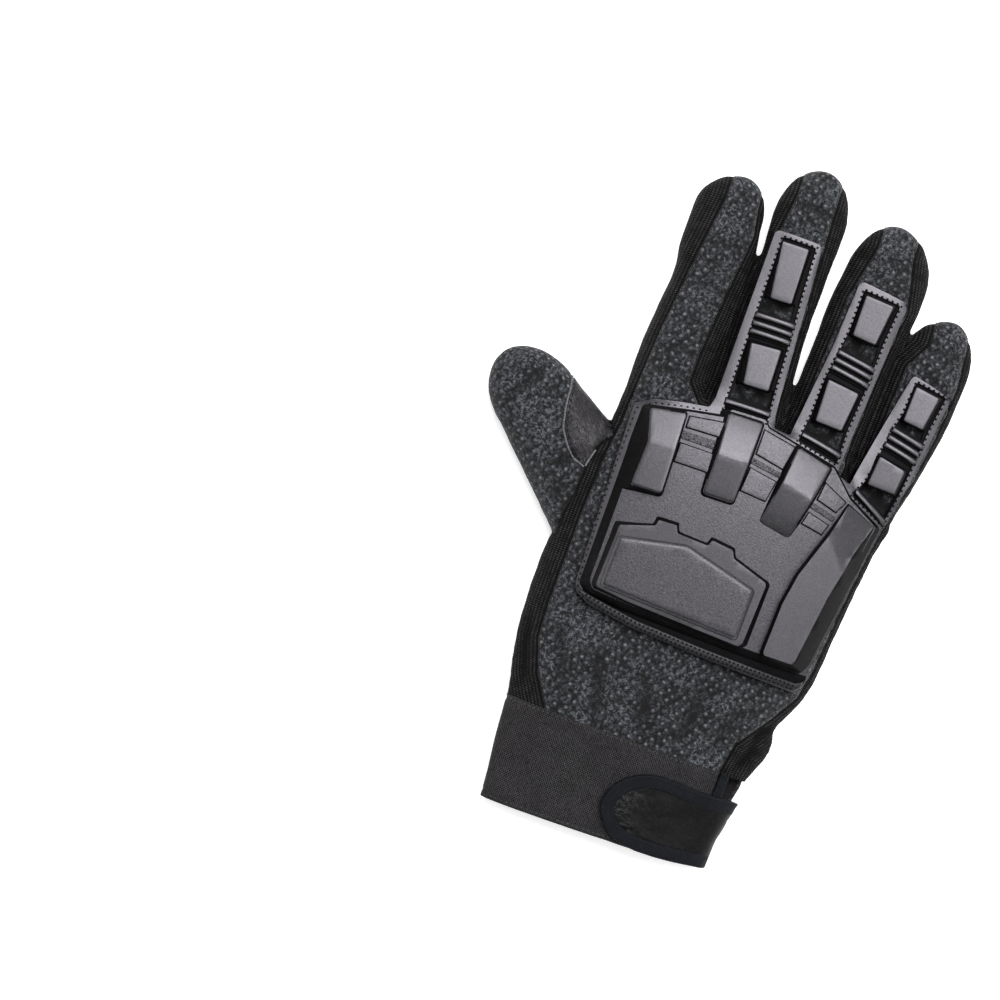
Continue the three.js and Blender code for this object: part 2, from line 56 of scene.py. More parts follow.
# %% Camera over the glove
SENSOR_WIDTH = 36
FRAME_WIDTH = 355
CAMERA_HEIGHT = 700
FRAME_TURN = 20
AIM = Vector((-79.0 * MM, -6.1 * MM, 12 * MM))

camera_data = bpy.data.cameras.new("camera")
camera_data.sensor_width = SENSOR_WIDTH
camera_data.lens = SENSOR_WIDTH * CAMERA_HEIGHT / FRAME_WIDTH
camera_data.clip_start = 0.01
camera = bpy.data.objects.new("camera", camera_data)
camera.location = AIM + Vector((0, 0, CAMERA_HEIGHT * MM))
camera.rotation_euler = (0, 0, math.radians(FRAME_TURN))
bpy.context.scene.collection.objects.link(camera)
bpy.context.scene.camera = camera
print("Lens in millimetres:", round(camera_data.lens, 1))

# %% [markdown]
# Every material is a small tree of nodes. One function adds a node with its settings and links, and
# another turns the colour that a screen shows into the linear colour that the renderer needs.

# %% Colours and nodes
def linear(hex_colour):
    """An sRGB colour such as 2b2d31 as linear red, green, blue and alpha."""
    shares = [int(hex_colour[i:i + 2], 16) / 255 for i in (0, 2, 4)]
    return [s / 12.92 if s <= 0.04045 else ((s + 0.055) / 1.055) ** 2.4 for s in shares] + [1.0]


def set_inputs(tree, node, inputs):
    """An input that is given a socket is linked to it, and any other takes the value."""
    for name, value in inputs.items():
        if isinstance(value, bpy.types.NodeSocket):
            tree.links.new(value, node.inputs[name])
        else:
            node.inputs[name].default_value = value


def add_node(tree, kind, inputs=None, output=0, **settings):
    """Adds a shader node with its settings, links and values, and gives back one of its outputs."""
    node = tree.nodes.new("ShaderNode" + kind)
    for name, value in settings.items():
        setattr(node, name, value)
    set_inputs(tree, node, inputs or {})
    return node.outputs[output]


def new_material(name, **shader_values):
    """A material with its shader's values set, with its tree and its shader."""
    material = bpy.data.materials.new(name)
    material.use_nodes = True
    tree = material.node_tree
    shader = tree.nodes["Principled BSDF"]
    for socket, value in shader_values.items():
        shader.inputs[socket.replace("_", " ")].default_value = value
    return material, tree, shader


print("Mid grey 808080 in linear light:", round(linear("808080")[0], 3))

# %% [markdown]
# The photograph is cut out on white. A floor and a round backdrop of white acrylic, lit from behind,
# give that ground from every side without a wall of strong lamps, whose glare would wash the black
# cloth out. Four soft boxes then shape the glove: a large one beyond the fingertips, which draws the
# bright facets on the guard, and three weaker ones from above, the right and the left.

# %% Floor and backdrop
FLOOR_HALF = 4
FLOOR_DROP = 0.05
BACKDROP_RADIUS = 3.4
BACKDROP_HEIGHT = 1.6
BACKDROP_MIDDLE = 0.75
FLOOR_GLOW = 0.47
BACKDROP_GLOW = 0.64


def object_from(name, bm):
    """An object in the scene with this bmesh as its mesh. The bmesh is freed."""
    mesh = bpy.data.meshes.new(name)
    bm.to_mesh(mesh)
    bm.free()
    made = bpy.data.objects.new(name, mesh)
    bpy.context.scene.collection.objects.link(made)
    return made


def stage_piece(name, bm, colour, glow):
    """A part of the studio, of white acrylic that is lit from behind."""
    piece = object_from(name, bm)
    material, _, shader = new_material("lit_acrylic_" + name, Roughness=0.9, Emission_Strength=glow)
    shader.inputs["Base Color"].default_value = linear(colour)
    shader.inputs["Emission Color"].default_value = linear("ffffff")
    piece.data.materials.append(material)
    print("Stage:", name, "glows at", glow)


floor = bmesh.new()
bmesh.ops.create_grid(floor, x_segments=1, y_segments=1, size=FLOOR_HALF)
bmesh.ops.translate(floor, vec=(0, 0, -FLOOR_DROP * MM), verts=floor.verts)
stage_piece("floor", floor, "f2f2f2", FLOOR_GLOW)
backdrop = bmesh.new()
bmesh.ops.create_cone(backdrop, segments=64, radius1=BACKDROP_RADIUS, radius2=BACKDROP_RADIUS,
                      depth=BACKDROP_HEIGHT, cap_ends=False)
bmesh.ops.translate(backdrop, vec=(0, 0, BACKDROP_MIDDLE), verts=backdrop.verts)
stage_piece("backdrop", backdrop, "e6e6e6", BACKDROP_GLOW)

# %% Soft boxes
# Each lamp: its place, what it is aimed at and its size, all in metres, and its power in watts
LAMPS = {
    "window_light": ((0.05, 0.6, 1.0), (0, 0.02, 0), (1.15, 0.8), 23),
    "top_light": ((0, -0.12, 1.25), (0, 0, 0), (0.9, 0.7), 2.55),
    "right_light": ((0.68, 0.08, 1.05), (0, 0, 0), (0.6, 0.7), 4.2),
    "left_light": ((-0.9, 0.1, 0.95), (0, 0, 0), (0.6, 0.7), 1.5),
}
ROOM_LIGHT = 0.08


def soft_box(name, place, aim, size, watts):
    data = bpy.data.lights.new(name, "AREA")
    data.shape = "RECTANGLE"
    data.size, data.size_y = size
    data.energy = watts
    lamp = bpy.data.objects.new(name, data)
    lamp.location = place
    lamp.rotation_euler = (Vector(aim) - Vector(place)).to_track_quat("-Z", "Y").to_euler()
    bpy.context.scene.collection.objects.link(lamp)


for name, lamp in LAMPS.items():
    soft_box(name, *lamp)
world = bpy.data.worlds.new("studio")
world.use_nodes = True
room = world.node_tree.nodes["Background"]
room.inputs["Color"].default_value = linear("ffffff")
room.inputs["Strength"].default_value = ROOM_LIGHT
bpy.context.scene.world = world
bpy.context.scene.view_settings.view_transform = "Standard"
print("Lamps:", len(LAMPS))

# %% [markdown]
# A glove that lies empty has a flat sole under a crowned back. Each cross-section below gives the
# place along the hand, the two sides and the height of the back. Rings of vertices take that shape,
# bridge_loops skins them, and a voxel remesh melts the fingers, thumb and hand into one form, which
# rounds the folds between them. A subdivided cage could be shaped by hand instead, but its creases
# between the fingers would be hard to keep even.

# %% Sections of the hand, fingers and thumb
# A row of the hand: y, left side, right side, top, and how far it slants back towards the little
# finger per millimetre past SLANT_FROM. The back and the sole meet at the height SIDE.
SIDE = 6.0
SLANT_FROM = 6.0
HAND = [
    (-74, -52.4, 37.4, 14.8, 0), (-71, -52.9, 38.0, 15.0, 0), (-64, -54.2, 40.6, 15.8, 0),
    (-58, -55.4, 42.6, 16.6, 0), (-50, -56.8, 41.6, 17.8, 0), (-34, -58.4, 48.2, 19.4, 0),
    (-12, -58.2, 50.4, 20.8, 0), (20, -53.2, 53.0, 21.6, 0.05), (36, -51.2, 54.4, 20.8, 0.2),
    (47, -50.6, 55.6, 18.6, 0.33), (52, -49.4, 55.4, 13.0, 0.38),
]
GUARD_SEAT = [row for row in HAND if row[0] < 40] + [
    (46, -50.6, 58.0, 19.4, 0.33), (54, -50.2, 59.0, 17.4, 0.38),
]
# Each finger: the place of its tip, then its rows, which give y, left, right, top and sole
FINGERS = [
    ((-34.8, 132.4), [
        (36, -50.0, -20.2, 14.0, 1.5), (52, -50.6, -22.1, 17.2, 0), (63, -50.6, -22.3, 16.4, 0),
        (79, -49.8, -22.2, 15.6, 0), (92, -48.5, -22.0, 14.8, 0), (105, -50.2, -22.6, 14.4, 0),
        (117, -50.3, -24.4, 13.6, 0),
    ]),
    ((-9.6, 144), [
        (36, -23.6, 7.2, 19.0, 0), (56, -21.5, 5.8, 17.6, 0), (92, -21.1, 3.8, 15.0, 0),
        (108, -21.2, 3.9, 14.4, 0), (125, -22.4, 4.6, 13.8, 0),
    ]),
    ((22.2, 134.3), [
        (30, 4.6, 33.4, 19.0, 0), (44, 5.6, 34.2, 18.2, 0), (60, 6.7, 35.6, 16.8, 0),
        (90, 7.2, 36.6, 14.8, 0), (103, 7.7, 38.6, 14.4, 0), (114, 8.8, 39.2, 13.8, 0),
    ]),
    ((52.2, 108.8), [
        (22, 32.6, 52.4, 12.0, 1.5), (44, 34.6, 57.4, 16.2, 0), (60, 36.3, 60.6, 15.0, 0),
        (76, 36.9, 62.8, 14.0, 0), (90, 37.3, 63.8, 13.2, 0),
    ]),
]
THUMB_ROOT = (-55, 15)
THUMB_TURN = 55
THUMB_TIP = (0.6, 50.4)
THUMB = [
    (-20, -23.6, 17.0, 12.6, 0), (-9, -21.6, 17.0, 13.8, 0), (3, -19.6, 17.0, 14.4, 0),
    (17, -17.3, 16.7, 14.2, 0), (29, -15.4, 15.8, 13.8, 0),
]
print("Rows of the hand, fingers and thumb:", len(HAND) + sum(len(r) for _, r in FINGERS) + len(THUMB))

# %% Rows between the rows, and round tips
ROW_STEP = 2.5
TIP_TOP = SIDE + 3
TIP_SOLE = SIDE - 3.4
TIP_STEPS = 7
# The last ring stops a little short of the point, so that it can be closed with a small face
TIP_SHARE = 0.97


def smooth_rows(rows):
    """The rows with others between them, on a smooth curve through each column."""
    rows = np.array(rows, float)
    padded = np.vstack([2 * rows[0] - rows[1], rows, 2 * rows[-1] - rows[-2]])
    out = []
    for i in range(1, len(padded) - 2):
        a, b, c, d = padded[i - 1:i + 3]
        steps = max(1, round((c[0] - b[0]) / ROW_STEP))
        leave = (c - a) * (c[0] - b[0]) / max(c[0] - a[0], 1e-6)
        arrive = (d - b) * (c[0] - b[0]) / max(d[0] - b[0], 1e-6)
        for k in range(steps):
            t = k / steps
            out.append((2 * t ** 3 - 3 * t ** 2 + 1) * b + (t ** 3 - 2 * t ** 2 + t) * leave
                       + (3 * t ** 2 - 2 * t ** 3) * c + (t ** 3 - t ** 2) * arrive)
    return [tuple(row) for row in out] + [tuple(rows[-1])]


def with_tip(rows, tip):
    """Finger rows as (y, left, right, top, sole), rounded off to the tip on a quarter turn."""
    y, left, right, top, sole = rows[-1]
    out = list(rows)
    for k in range(1, TIP_STEPS + 1):
        turn = TIP_SHARE * k / TIP_STEPS * math.pi / 2
        near = math.cos(turn)
        out.append((y + (tip[1] - y) * math.sin(turn), tip[0] + (left - tip[0]) * near,
                    tip[0] + (right - tip[0]) * near, TIP_TOP + (top - TIP_TOP) * near,
                    TIP_SOLE + (sole - TIP_SOLE) * near))
    return out


print("Rows of the hand after smoothing:", len(smooth_rows(HAND)))

# %% Rings of vertices, skinned
RING_POINTS = 56
# How square the crown of a section is, and how flat its sole
HAND_CROWN = 2.6
FINGER_CROWN = 3.0
SOLE_POWER = 5
SOLE_SPREAD = 1.05


def section_point(turn, left, right, top, sole, crown):
    """Sideways place and height of the section's outline at this turn round it."""
    share = math.cos(turn)
    across = (left + right) / 2 + (right - left) / 2 * share
    if math.sin(turn) >= 0:
        return across, SIDE + (top - SIDE) * math.sqrt(max(0, 1 - abs(share) ** crown))
    drop = min(1, SOLE_SPREAD * math.sqrt(max(0, 1 - abs(share) ** SOLE_POWER)))
    return across, SIDE - (SIDE - sole) * drop


def skin_rings(bm, rows, crown, slanted, place=Matrix.Identity(4)):
    """Rings on the rows, bridged into a closed skin."""
    rings = []
    for row in rows:
        y, left, right, top, last = row
        made = bmesh.ops.create_circle(bm, segments=RING_POINTS, radius=1, cap_ends=False)["verts"]
        for i, vertex in enumerate(made):
            x, z = section_point(2 * math.pi * i / RING_POINTS, left, right, top,
                                 0 if slanted else last, crown)
            back = last * max(0, x - SLANT_FROM) if slanted else 0
            vertex.co = place @ Vector((x, y - back, z)) * MM
        rings.append(list({edge for vertex in made for edge in vertex.link_edges}))
    for near, far in zip(rings, rings[1:]):
        bmesh.ops.bridge_loops(bm, edges=near + far)
    bmesh.ops.contextual_create(bm, geom=rings[0])
    bmesh.ops.contextual_create(bm, geom=rings[-1])


# %% Melt the soft form
# The size of the voxels in millimetres, and how often the melted form is smoothed
SOFT_VOXEL = 0.8
SOFT_ROUNDS = 6


def relax(bm, verts, rounds):
    """Each of these vertices goes half way to the middle of its neighbours, this many times."""
    for _ in range(rounds):
        bmesh.ops.smooth_vert(bm, verts=verts, factor=0.5, use_axis_x=True, use_axis_y=True, use_axis_z=True)


def melted_form(hand_rows, voxel, rounds):
    """Hand, fingers and thumb as one smooth closed bmesh."""
    bm = bmesh.new()
    skin_rings(bm, smooth_rows(hand_rows), HAND_CROWN, True)
    for tip, rows in FINGERS:
        skin_rings(bm, with_tip(smooth_rows(rows), tip), FINGER_CROWN, False)
    turn = Matrix.Translation((*THUMB_ROOT, 0)) @ Matrix.Rotation(math.radians(THUMB_TURN), 4, "Z")
    skin_rings(bm, with_tip(smooth_rows(THUMB), THUMB_TIP), FINGER_CROWN, False, turn)
    bmesh.ops.recalc_face_normals(bm, faces=bm.faces)
    melted = object_from("form", bm)
    remesh = melted.modifiers.new("melt", "REMESH")
    remesh.mode = "VOXEL"
    remesh.voxel_size = voxel * MM
    bm = bmesh.new()
    bm.from_object(melted, bpy.context.evaluated_depsgraph_get())
    bpy.data.objects.remove(melted)
    relax(bm, bm.verts, rounds)
    return bm


soft = melted_form(HAND, SOFT_VOXEL, SOFT_ROUNDS)
print("Soft form:", len(soft.verts), "vertices")

# %% [markdown]
# The glove is sewn from panels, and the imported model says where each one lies. Every face of the
# melted form goes to the panel that it is nearest to. The seam vertices, which at first run in steps
# like a staircase, are drawn onto the line half way between the two panels.

# %% Open the form at the wrist
PANELS = [
    "palm_leather", "palm_patch", "back_panel", "thumb_back", "thumb_gusset", "index_side_gusset",
    "index_middle_fourchette", "middle_ring_fourchette", "ring_little_fourchette",
    "little_side_gusset",
]
SEWN_EDGE = -70.9
# What is left of the closing face lies this near the cut and faces along the hand
NEAR_CUT = 0.2
FACES_ALONG = 0.9


def cad_surface(names):
    """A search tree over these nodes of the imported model, and which node each triangle is from."""
    points, triangles, owner = [], [], []
    for index, name in enumerate(names):
        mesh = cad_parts[name].data
        mesh.calc_loop_triangles()
        start = len(points)
        points += [v.co.copy() for v in mesh.vertices]
        triangles += [[start + k for k in t.vertices] for t in mesh.loop_triangles]
        owner += [index] * len(mesh.loop_triangles)
    return BVHTree.FromPolygons(points, triangles), owner


def everything(bm):
    return bm.verts[:] + bm.edges[:] + bm.faces[:]


def open_at_wrist(bm):
    """The form without what lies on the wrist side of the cuff seam."""
    bmesh.ops.bisect_plane(bm, geom=everything(bm), plane_co=(0, SEWN_EDGE * MM, 0),
                           plane_no=(0, -1, 0), clear_outer=True)
    end = [f for f in bm.faces if f.calc_center_median().y < (SEWN_EDGE + NEAR_CUT) * MM
           and abs(f.normal.y) > FACES_ALONG]
    bmesh.ops.delete(bm, geom=end, context="FACES")


open_at_wrist(soft)
print("Left past the wrist:", len(soft.faces), "faces")

# %% Give each face its panel
CLEANING_ROUNDS = 3


def label_faces(bm):
    """The nearest panel for each face. Lone faces then join the panel that lies round them."""
    tree, owner = cad_surface(PANELS)
    for face in bm.faces:
        face.material_index = owner[tree.find_nearest(face.calc_center_median())[2]]
    for _ in range(CLEANING_ROUNDS):
        changes = []
        for face in bm.faces:
            around = [f.material_index for e in face.edges for f in e.link_faces if f != face]
            common = max(set(around), key=around.count)
            if around.count(common) >= 3 and common != face.material_index:
                changes.append((face, common))
        for face, common in changes:
            face.material_index = common


label_faces(soft)
print("Panels found:", len({f.material_index for f in soft.faces}))

# %% Draw the seams
# A seam vertex moves no further than this in a round, or it would fold the faces beside it over
SEAM_STEP = 1.5
SEAM_ROUNDS = 2
BESIDE_ROUNDS = 4


def panels_at(vertex):
    return sorted({f.material_index for f in vertex.link_faces})


def draw_seams(bm):
    """Seam vertices go half way between the panels that meet there. Returns how many there are."""
    trees = [cad_surface([name])[0] for name in PANELS]
    seam = [v for v in bm.verts if len(panels_at(v)) > 1]
    for _ in range(SEAM_ROUNDS):
        for vertex in seam:
            near = [trees[k].find_nearest(vertex.co)[0] for k in panels_at(vertex)]
            step = sum(near, Vector()) / len(near) - vertex.co
            step -= vertex.normal * step.dot(vertex.normal)
            if step.length < SEAM_STEP * MM:
                vertex.co += step
        bm.normal_update()
    held = set(seam)
    beside = {w for v in seam for e in v.link_edges for w in e.verts} - held
    beside |= {w for v in beside for e in v.link_edges for w in e.verts} - held
    relax(bm, list(beside), BESIDE_ROUNDS)
    bm.normal_update()
    return len(seam)


print("Seam vertices:", draw_seams(soft))

# %% [markdown]
# Sewing pulls the cloth down into a groove along each seam and lets it puff up beside it. Leather and
# knit also crease where a hand has bent them: across the fingers, in folds at the wrist and softly
# over the back. Each crease is a line in plan with a depth and a width, and a little noise, which is
# the same in each run, keeps the surfaces between them from looking machined. A cloth simulation
# could make the folds, but it wouldn't put them where this glove has them.

# %% Outlines of the guard's flange and windows
FLANGE = [
    (-46.2, 42.4), (-40, 46), (-30, 48.3), (-21, 49.8), (-20, 54), (-19.9, 116.4), (-18.8, 117.4),
    (-3.4, 117.2), (-2.3, 115.8), (-0.9, 99), (1.8, 57), (2.8, 50.4), (9, 50), (10.2, 59.5),
    (12.8, 84), (14.2, 108.8), (15.4, 110.3), (31.4, 108.4), (33.2, 106.5), (32.2, 89.5),
    (30.2, 59.5), (29.2, 43), (34.8, 41), (38.3, 59.5), (43.1, 84.2), (44.1, 85.3), (57.6, 82),
    (58.7, 80), (56.8, 63), (54.8, 48), (51.6, 31), (49.4, 18), (47.4, 1), (44, -24), (43.8, -32.4),
    (41, -34.9), (5, -34), (-20, -32.7), (-37.7, -30), (-42.8, -27.4), (-44.2, -24),
]
WINDOWS = [
    [(-15.8, 94.2), (-4.6, 94.2), (-3.2, 79.2), (-15.8, 79.2)],
    [(-15.2, 62.4), (-1.6, 62.8), (-0.8, 52.6), (-15.6, 52.6)],
    [(16.8, 91.4), (28.2, 90.8), (28.4, 75.2), (15.6, 77)],
    [(14.4, 58.4), (26.8, 58), (27.4, 48.4), (13, 51)],
    [(44.4, 69.4), (53.8, 68.4), (53.2, 55.6), (42.8, 57.6)],
    [(40.2, 43.6), (51.4, 43.2), (50.6, 32.6), (38.2, 39)],
]

print("Windows in the finger strips:", len(WINDOWS))

# %% Lines of the creases
# Each crease: depth, width and the points of its line in plan
PALM_CREASES = [
    (1.5, 2.6, [(-22, -40), (2, -46.6), (18, -58), (29, -67)]),
    (1.4, 2.4, [(-25, -49), (-10, -57), (4, -68)]),
    (1.0, 2.0, [(-27, -59), (-16, -66), (-6, -70)]),
    (1.6, 2.2, [(19, -44.8), (29, -41), (40, -40)]),
    (1.5, 2.2, [(19, -46.4), (29, -53.6), (36, -61)]),
    (0.9, 2.0, [(-13, -38.4), (7, -40.4), (19, -43)]),
    (0.8, 2.0, [(8, -50), (20, -52), (30, -60)]),
    (0.7, 1.8, [(-30, -30), (-26, -46), (-27, -60)]),
    (0.8, 2.2, [(-35, 26), (-31, 4), (-25, -22), (-22, -36)]),
    (0.5, 1.6, [(14, -24), (28, -27), (41, -25)]),
    (0.5, 1.6, [(16, -31), (28, -34), (42, -31)]),
    (0.5, 1.6, [(-22, 34), (0, 31.6), (16, 27)]),
    (0.5, 1.8, [(-52, 26), (-46, 8), (-42, -8)]),
    (0.5, 1.8, [(-62, 18), (-56, 2), (-50, -8)]),
    (0.45, 1.4, [(-78, 40), (-82, 32), (-86, 26)]),
    (0.45, 1.4, [(-72, 34), (-76, 26), (-79, 19)]),
]
BACK_CREASES = [
    (0.55, 3.6, [(-30, -42), (-25, -54), (-21, -68)]),
    (0.5, 3.4, [(-12, -44), (-6, -56), (-5, -69)]),
    (0.55, 3.6, [(10, -42), (12, -54), (7, -68)]),
    (0.5, 3.2, [(27, -44), (22, -56), (21, -67)]),
    (0.5, 3.0, [(-44, -38), (-40, -50), (-34, -62)]),
    (0.7, 2.0, [(-55, -38), (-53, -52), (-49, -66)]),
    (0.9, 2.2, [(43, -47), (37, -52), (33, -60)]),
    (0.7, 2.0, [(41, -57), (36, -60), (31, -69)]),
    (0.5, 2.2, [(-46, 56), (-38, 58), (-29, 56)]),
    (0.4, 2.0, [(-45, 64), (-38, 66), (-30, 64.6)]),
    (0.5, 2.2, [(-47, 88), (-36, 91), (-24, 89)]),
    (0.4, 2.0, [(-48, 96), (-37, 98), (-24, 96)]),
    (0.4, 1.8, [(-45, 105), (-36, 106.6), (-27, 105)]),
    (0.5, 2.0, [(-20, 127), (-10, 129), (2, 127)]),
    (0.4, 2.0, [(11, 119), (24, 121), (37, 118)]),
    (0.4, 1.8, [(41, 95), (51, 97), (62, 94)]),
    (0.6, 2.2, [(-70, 12), (-63, 14), (-56, 20)]),
    (0.6, 2.2, [(-62, 0), (-60, 6), (-56, 10)]),
    (0.5, 2.0, [(-66, 37), (-60, 33), (-57, 26)]),
    (0.4, 1.6, [(-62, 38), (-57, 34), (-54, 28)]),
    (0.5, 2.4, [(-90, 28), (-84, 36), (-80, 46)]),
]
# The front of each finger: its middle at the root and at the tip, and the places of its creases
FINGER_FOLDS = [
    ((-36.4, 60), (-37.2, 122), 10.5, (77, 84, 89.5, 95.5, 103, 112)),
    ((-8.2, 60), (-9.2, 132), 10.5, (70, 77, 83, 88, 94.5, 103, 109, 118)),
    ((21.4, 60), (24.2, 124), 11, (67, 74, 81, 86.5, 93, 102, 111)),
    ((47.6, 52), (51.4, 100), 9.5, (58, 65, 70, 76, 84, 92)),
]
# Three kinds of crease take turns along a finger: how far it bows, its share of the width, its depth
FOLD_KINDS = [(-1.2, 1.0, 0.65), (0.8, 0.7, 0.45), (-0.4, 0.85, 0.55)]
FOLD_WIDTH = 1.3
FOLD_TAIL = 0.6


def finger_creases():
    out = []
    for (x0, y0), (x1, y1), half, places in FINGER_FOLDS:
        for k, y in enumerate(places):
            middle = x0 + (x1 - x0) * (y - y0) / (y1 - y0)
            bow, share, depth = FOLD_KINDS[k % 3]
            reach = half * share
            line = [(middle - reach, y - bow), (middle, y + bow), (middle + reach, y - FOLD_TAIL)]
            out.append((depth, FOLD_WIDTH, line))
    return out


print("Creases:", len(PALM_CREASES) + len(BACK_CREASES) + len(finger_creases()))

# %% The shape of one crease
# A crease has raised shoulders: their height as a share of its depth, and how many widths out
SHOULDER = 0.45
SHOULDER_AT = 2.1


def crease(places, depth, width, line):
    """How far a crease moves each place in or out: a valley with raised shoulders, fading at its ends."""
    points = np.array(line, float)
    lengths = np.linalg.norm(np.diff(points, axis=0), axis=1)
    starts = np.concatenate([[0], np.cumsum(lengths)])
    nearest = np.full(len(places), 1e9)
    along = np.zeros(len(places))
    for a, b, length, start in zip(points, points[1:], lengths, starts):
        direction = (b - a) / length
        t = np.clip((places - a) @ direction, 0, length)
        distance = np.linalg.norm(places - a - t[:, None] * direction, axis=1)
        closer = distance < nearest
        nearest[closer] = distance[closer]
        along[closer] = (start + t[closer]) / starts[-1]
    fade = np.sqrt(np.clip(np.sin(np.pi * along), 0, 1))
    valley = np.exp(-(nearest / width) ** 2)
    shoulders = np.exp(-((nearest - SHOULDER_AT * width) / width) ** 2)
    return depth * fade * (SHOULDER * shoulders - valley)


# %% Inside an outline, and beside the guard
# The knit bunches up beside the guard: how far from its flange, how high and how large the lumps are
BUNCHED_WITHIN = 4.5
BUNCH_HEIGHT = 0.9
BUNCH_SIZE = 3.0


def inside(outline, places):
    """Which places lie inside an outline in plan."""
    hits = np.zeros(len(places), bool)
    for (x0, y0), (x1, y1) in zip(outline, outline[1:] + outline[:1]):
        if y0 != y1:
            crosses = (y0 > places[:, 1]) != (y1 > places[:, 1])
            hits ^= crosses & (places[:, 0] < x0 + (places[:, 1] - y0) / (y1 - y0) * (x1 - x0))
    return hits


def beside_flange(places):
    """From 0 far from the flange to 1 at its edge."""
    nearest = np.full(len(places), 1e9)
    for a, b in zip(FLANGE, FLANGE[1:] + FLANGE[:1]):
        a, b = np.array(a), np.array(b)
        t = np.clip((places - a) @ (b - a) / ((b - a) @ (b - a)), 0, 1)
        nearest = np.minimum(nearest, np.linalg.norm(places - a - t[:, None] * (b - a), axis=1))
    return np.clip(1 - nearest / BUNCHED_WITHIN, 0, 1)


# %% Press the grooves and creases in
# A seam is deeper in the palm than in the knit. PUFF is how the cloth rises beside it.
SEAM_DEPTH = 0.18
PALM_SEAM_DEPTH = 0.7
SEAM_WIDTH = 0.9
PUFF = 0.1
PUFF_AT = 2.6
PUFF_WIDTH = 1.8
# The palm lies lower round its patch, and the back under the guard
PATCH_STEP = 0.7
PATCH_STEP_WIDTH = 5
UNDER_GUARD = 0.5
# Cloth is pressed up in lumps through the windows of the finger strips. Its fold value is lowered
# there, so that it is painted darker as shade, most in its dips
WINDOW_LUMP_HEIGHT = 1.5
WINDOW_LUMP_SIZE = 3.4
WINDOW_SINK = 0.1
WINDOW_SHADE_BY_LUMPS = 0.9
WINDOW_SHADE = 0.5
# Waves all over: size and height
UNDULATION = [(14.0, 0.32), (5.5, 0.16)]
# Below this height the cloth turns down over the edge of the hand
EDGE_FROM = 12
# A vertex counts as on the palm side or on the back by how its normal leans
PALM_LEAN = 2.5
PALM_LIMIT = 0.4
BACK_LIMIT = 0.2


def tree_of_spots(vertices):
    spots = KDTree(len(vertices))
    for index, vertex in enumerate(vertices):
        spots.insert(vertex.co, index)
    spots.balance()
    return spots


def wrinkle(bm):
    """Grooves, creases and unevenness. Adds what the materials read about each vertex.

    seam is the distance to the nearest seam, fold is how far a fold lies in or out, and is lowered in
    the windows of the finger strips to paint shade there, and laid is the place that the vertex would
    have with the cloth rolled out flat.
    """
    seam_layer = bm.verts.layers.float.new("seam")
    fold_layer = bm.verts.layers.float.new("fold")
    laid_layer = bm.verts.layers.float_vector.new("laid")
    count = len(bm.verts)
    patch = PANELS.index("palm_patch")
    seam = [v for v in bm.verts if len(panels_at(v)) > 1]
    spots = tree_of_spots(seam)
    patch_edge = tree_of_spots([v for v in seam if patch in panels_at(v)])
    places = np.array([v.co for v in bm.verts]) / MM
    plan = places[:, :2]
    normals = np.array([v.normal for v in bm.verts])
    to_seam = np.array([spots.find(v.co)[2] for v in bm.verts]) / MM
    drop = np.clip(EDGE_FROM - places[:, 2], 0, None)
    laid = (plan + normals[:, :2] * drop[:, None]) * MM
    is_patch = np.array([patch in panels_at(v) for v in bm.verts])
    to_patch = np.array([patch_edge.find(v.co)[2] for v in bm.verts]) / MM
    under = np.clip(-normals[:, 2] * PALM_LEAN + PALM_LIMIT, 0, 1)
    folds = np.zeros(count)
    for depth, width, line in PALM_CREASES + finger_creases():
        folds += under * crease(plan, depth, width, line)
    for depth, width, line in BACK_CREASES:
        folds += (1 - under) * crease(plan, depth, width, line)
    move = -(SEAM_DEPTH + (PALM_SEAM_DEPTH - SEAM_DEPTH) * under) * np.exp(-(to_seam / SEAM_WIDTH) ** 2)
    move += PUFF * np.exp(-((to_seam - PUFF_AT) / PUFF_WIDTH) ** 2)
    move += folds
    move -= np.where(is_patch, 0, PATCH_STEP * np.exp(-(to_patch / PATCH_STEP_WIDTH) ** 2) * under)
    above = normals[:, 2] > BACK_LIMIT
    shaded = np.zeros(count, bool)
    for outline in WINDOWS:
        shaded |= above & inside(outline, plan)
    move -= np.where(above & inside(FLANGE, plan), UNDER_GUARD, 0)
    pressed = np.array([noise.noise(Vector(p) / WINDOW_LUMP_SIZE) for p in places])
    move += np.where(shaded, WINDOW_LUMP_HEIGHT * pressed - WINDOW_SINK, 0)
    # Painted shade in the windows: the fold value, which the cloths are darkened by, goes down there
    folds += np.where(shaded, WINDOW_SHADE_BY_LUMPS * pressed - WINDOW_SHADE, 0)
    near_flange = np.where(above & ~inside(FLANGE, plan), beside_flange(plan), 0)
    lumps = np.array([noise.noise(Vector(p) / BUNCH_SIZE) for p in places])
    move += BUNCH_HEIGHT * near_flange * lumps
    for size, height in UNDULATION:
        move += [height * noise.noise(Vector(p) / size) for p in places]
    for vertex, normal, step, near, fold, flat in zip(bm.verts, normals, move, to_seam, folds, laid):
        vertex.co += Vector(normal) * float(step) * MM
        vertex.co.z = max(vertex.co.z, 0)
        vertex[seam_layer] = near * MM
        vertex[fold_layer] = float(fold)
        vertex[laid_layer] = (float(flat[0]), float(flat[1]), 0)
    bm.normal_update()
    return folds


depths = wrinkle(soft)
print("Deepest fold:", round(-float(depths.min()), 2), "mm")

# %% [markdown]
# Each panel becomes a piece of its own, with the thickness of its cloth turned inwards. A rib runs
# along the ribbed strips at a steady distance from the back panel, so that distance is kept on the
# vertices for the knit material to read.

# %% A finished piece
ROOT_BODY = "root"


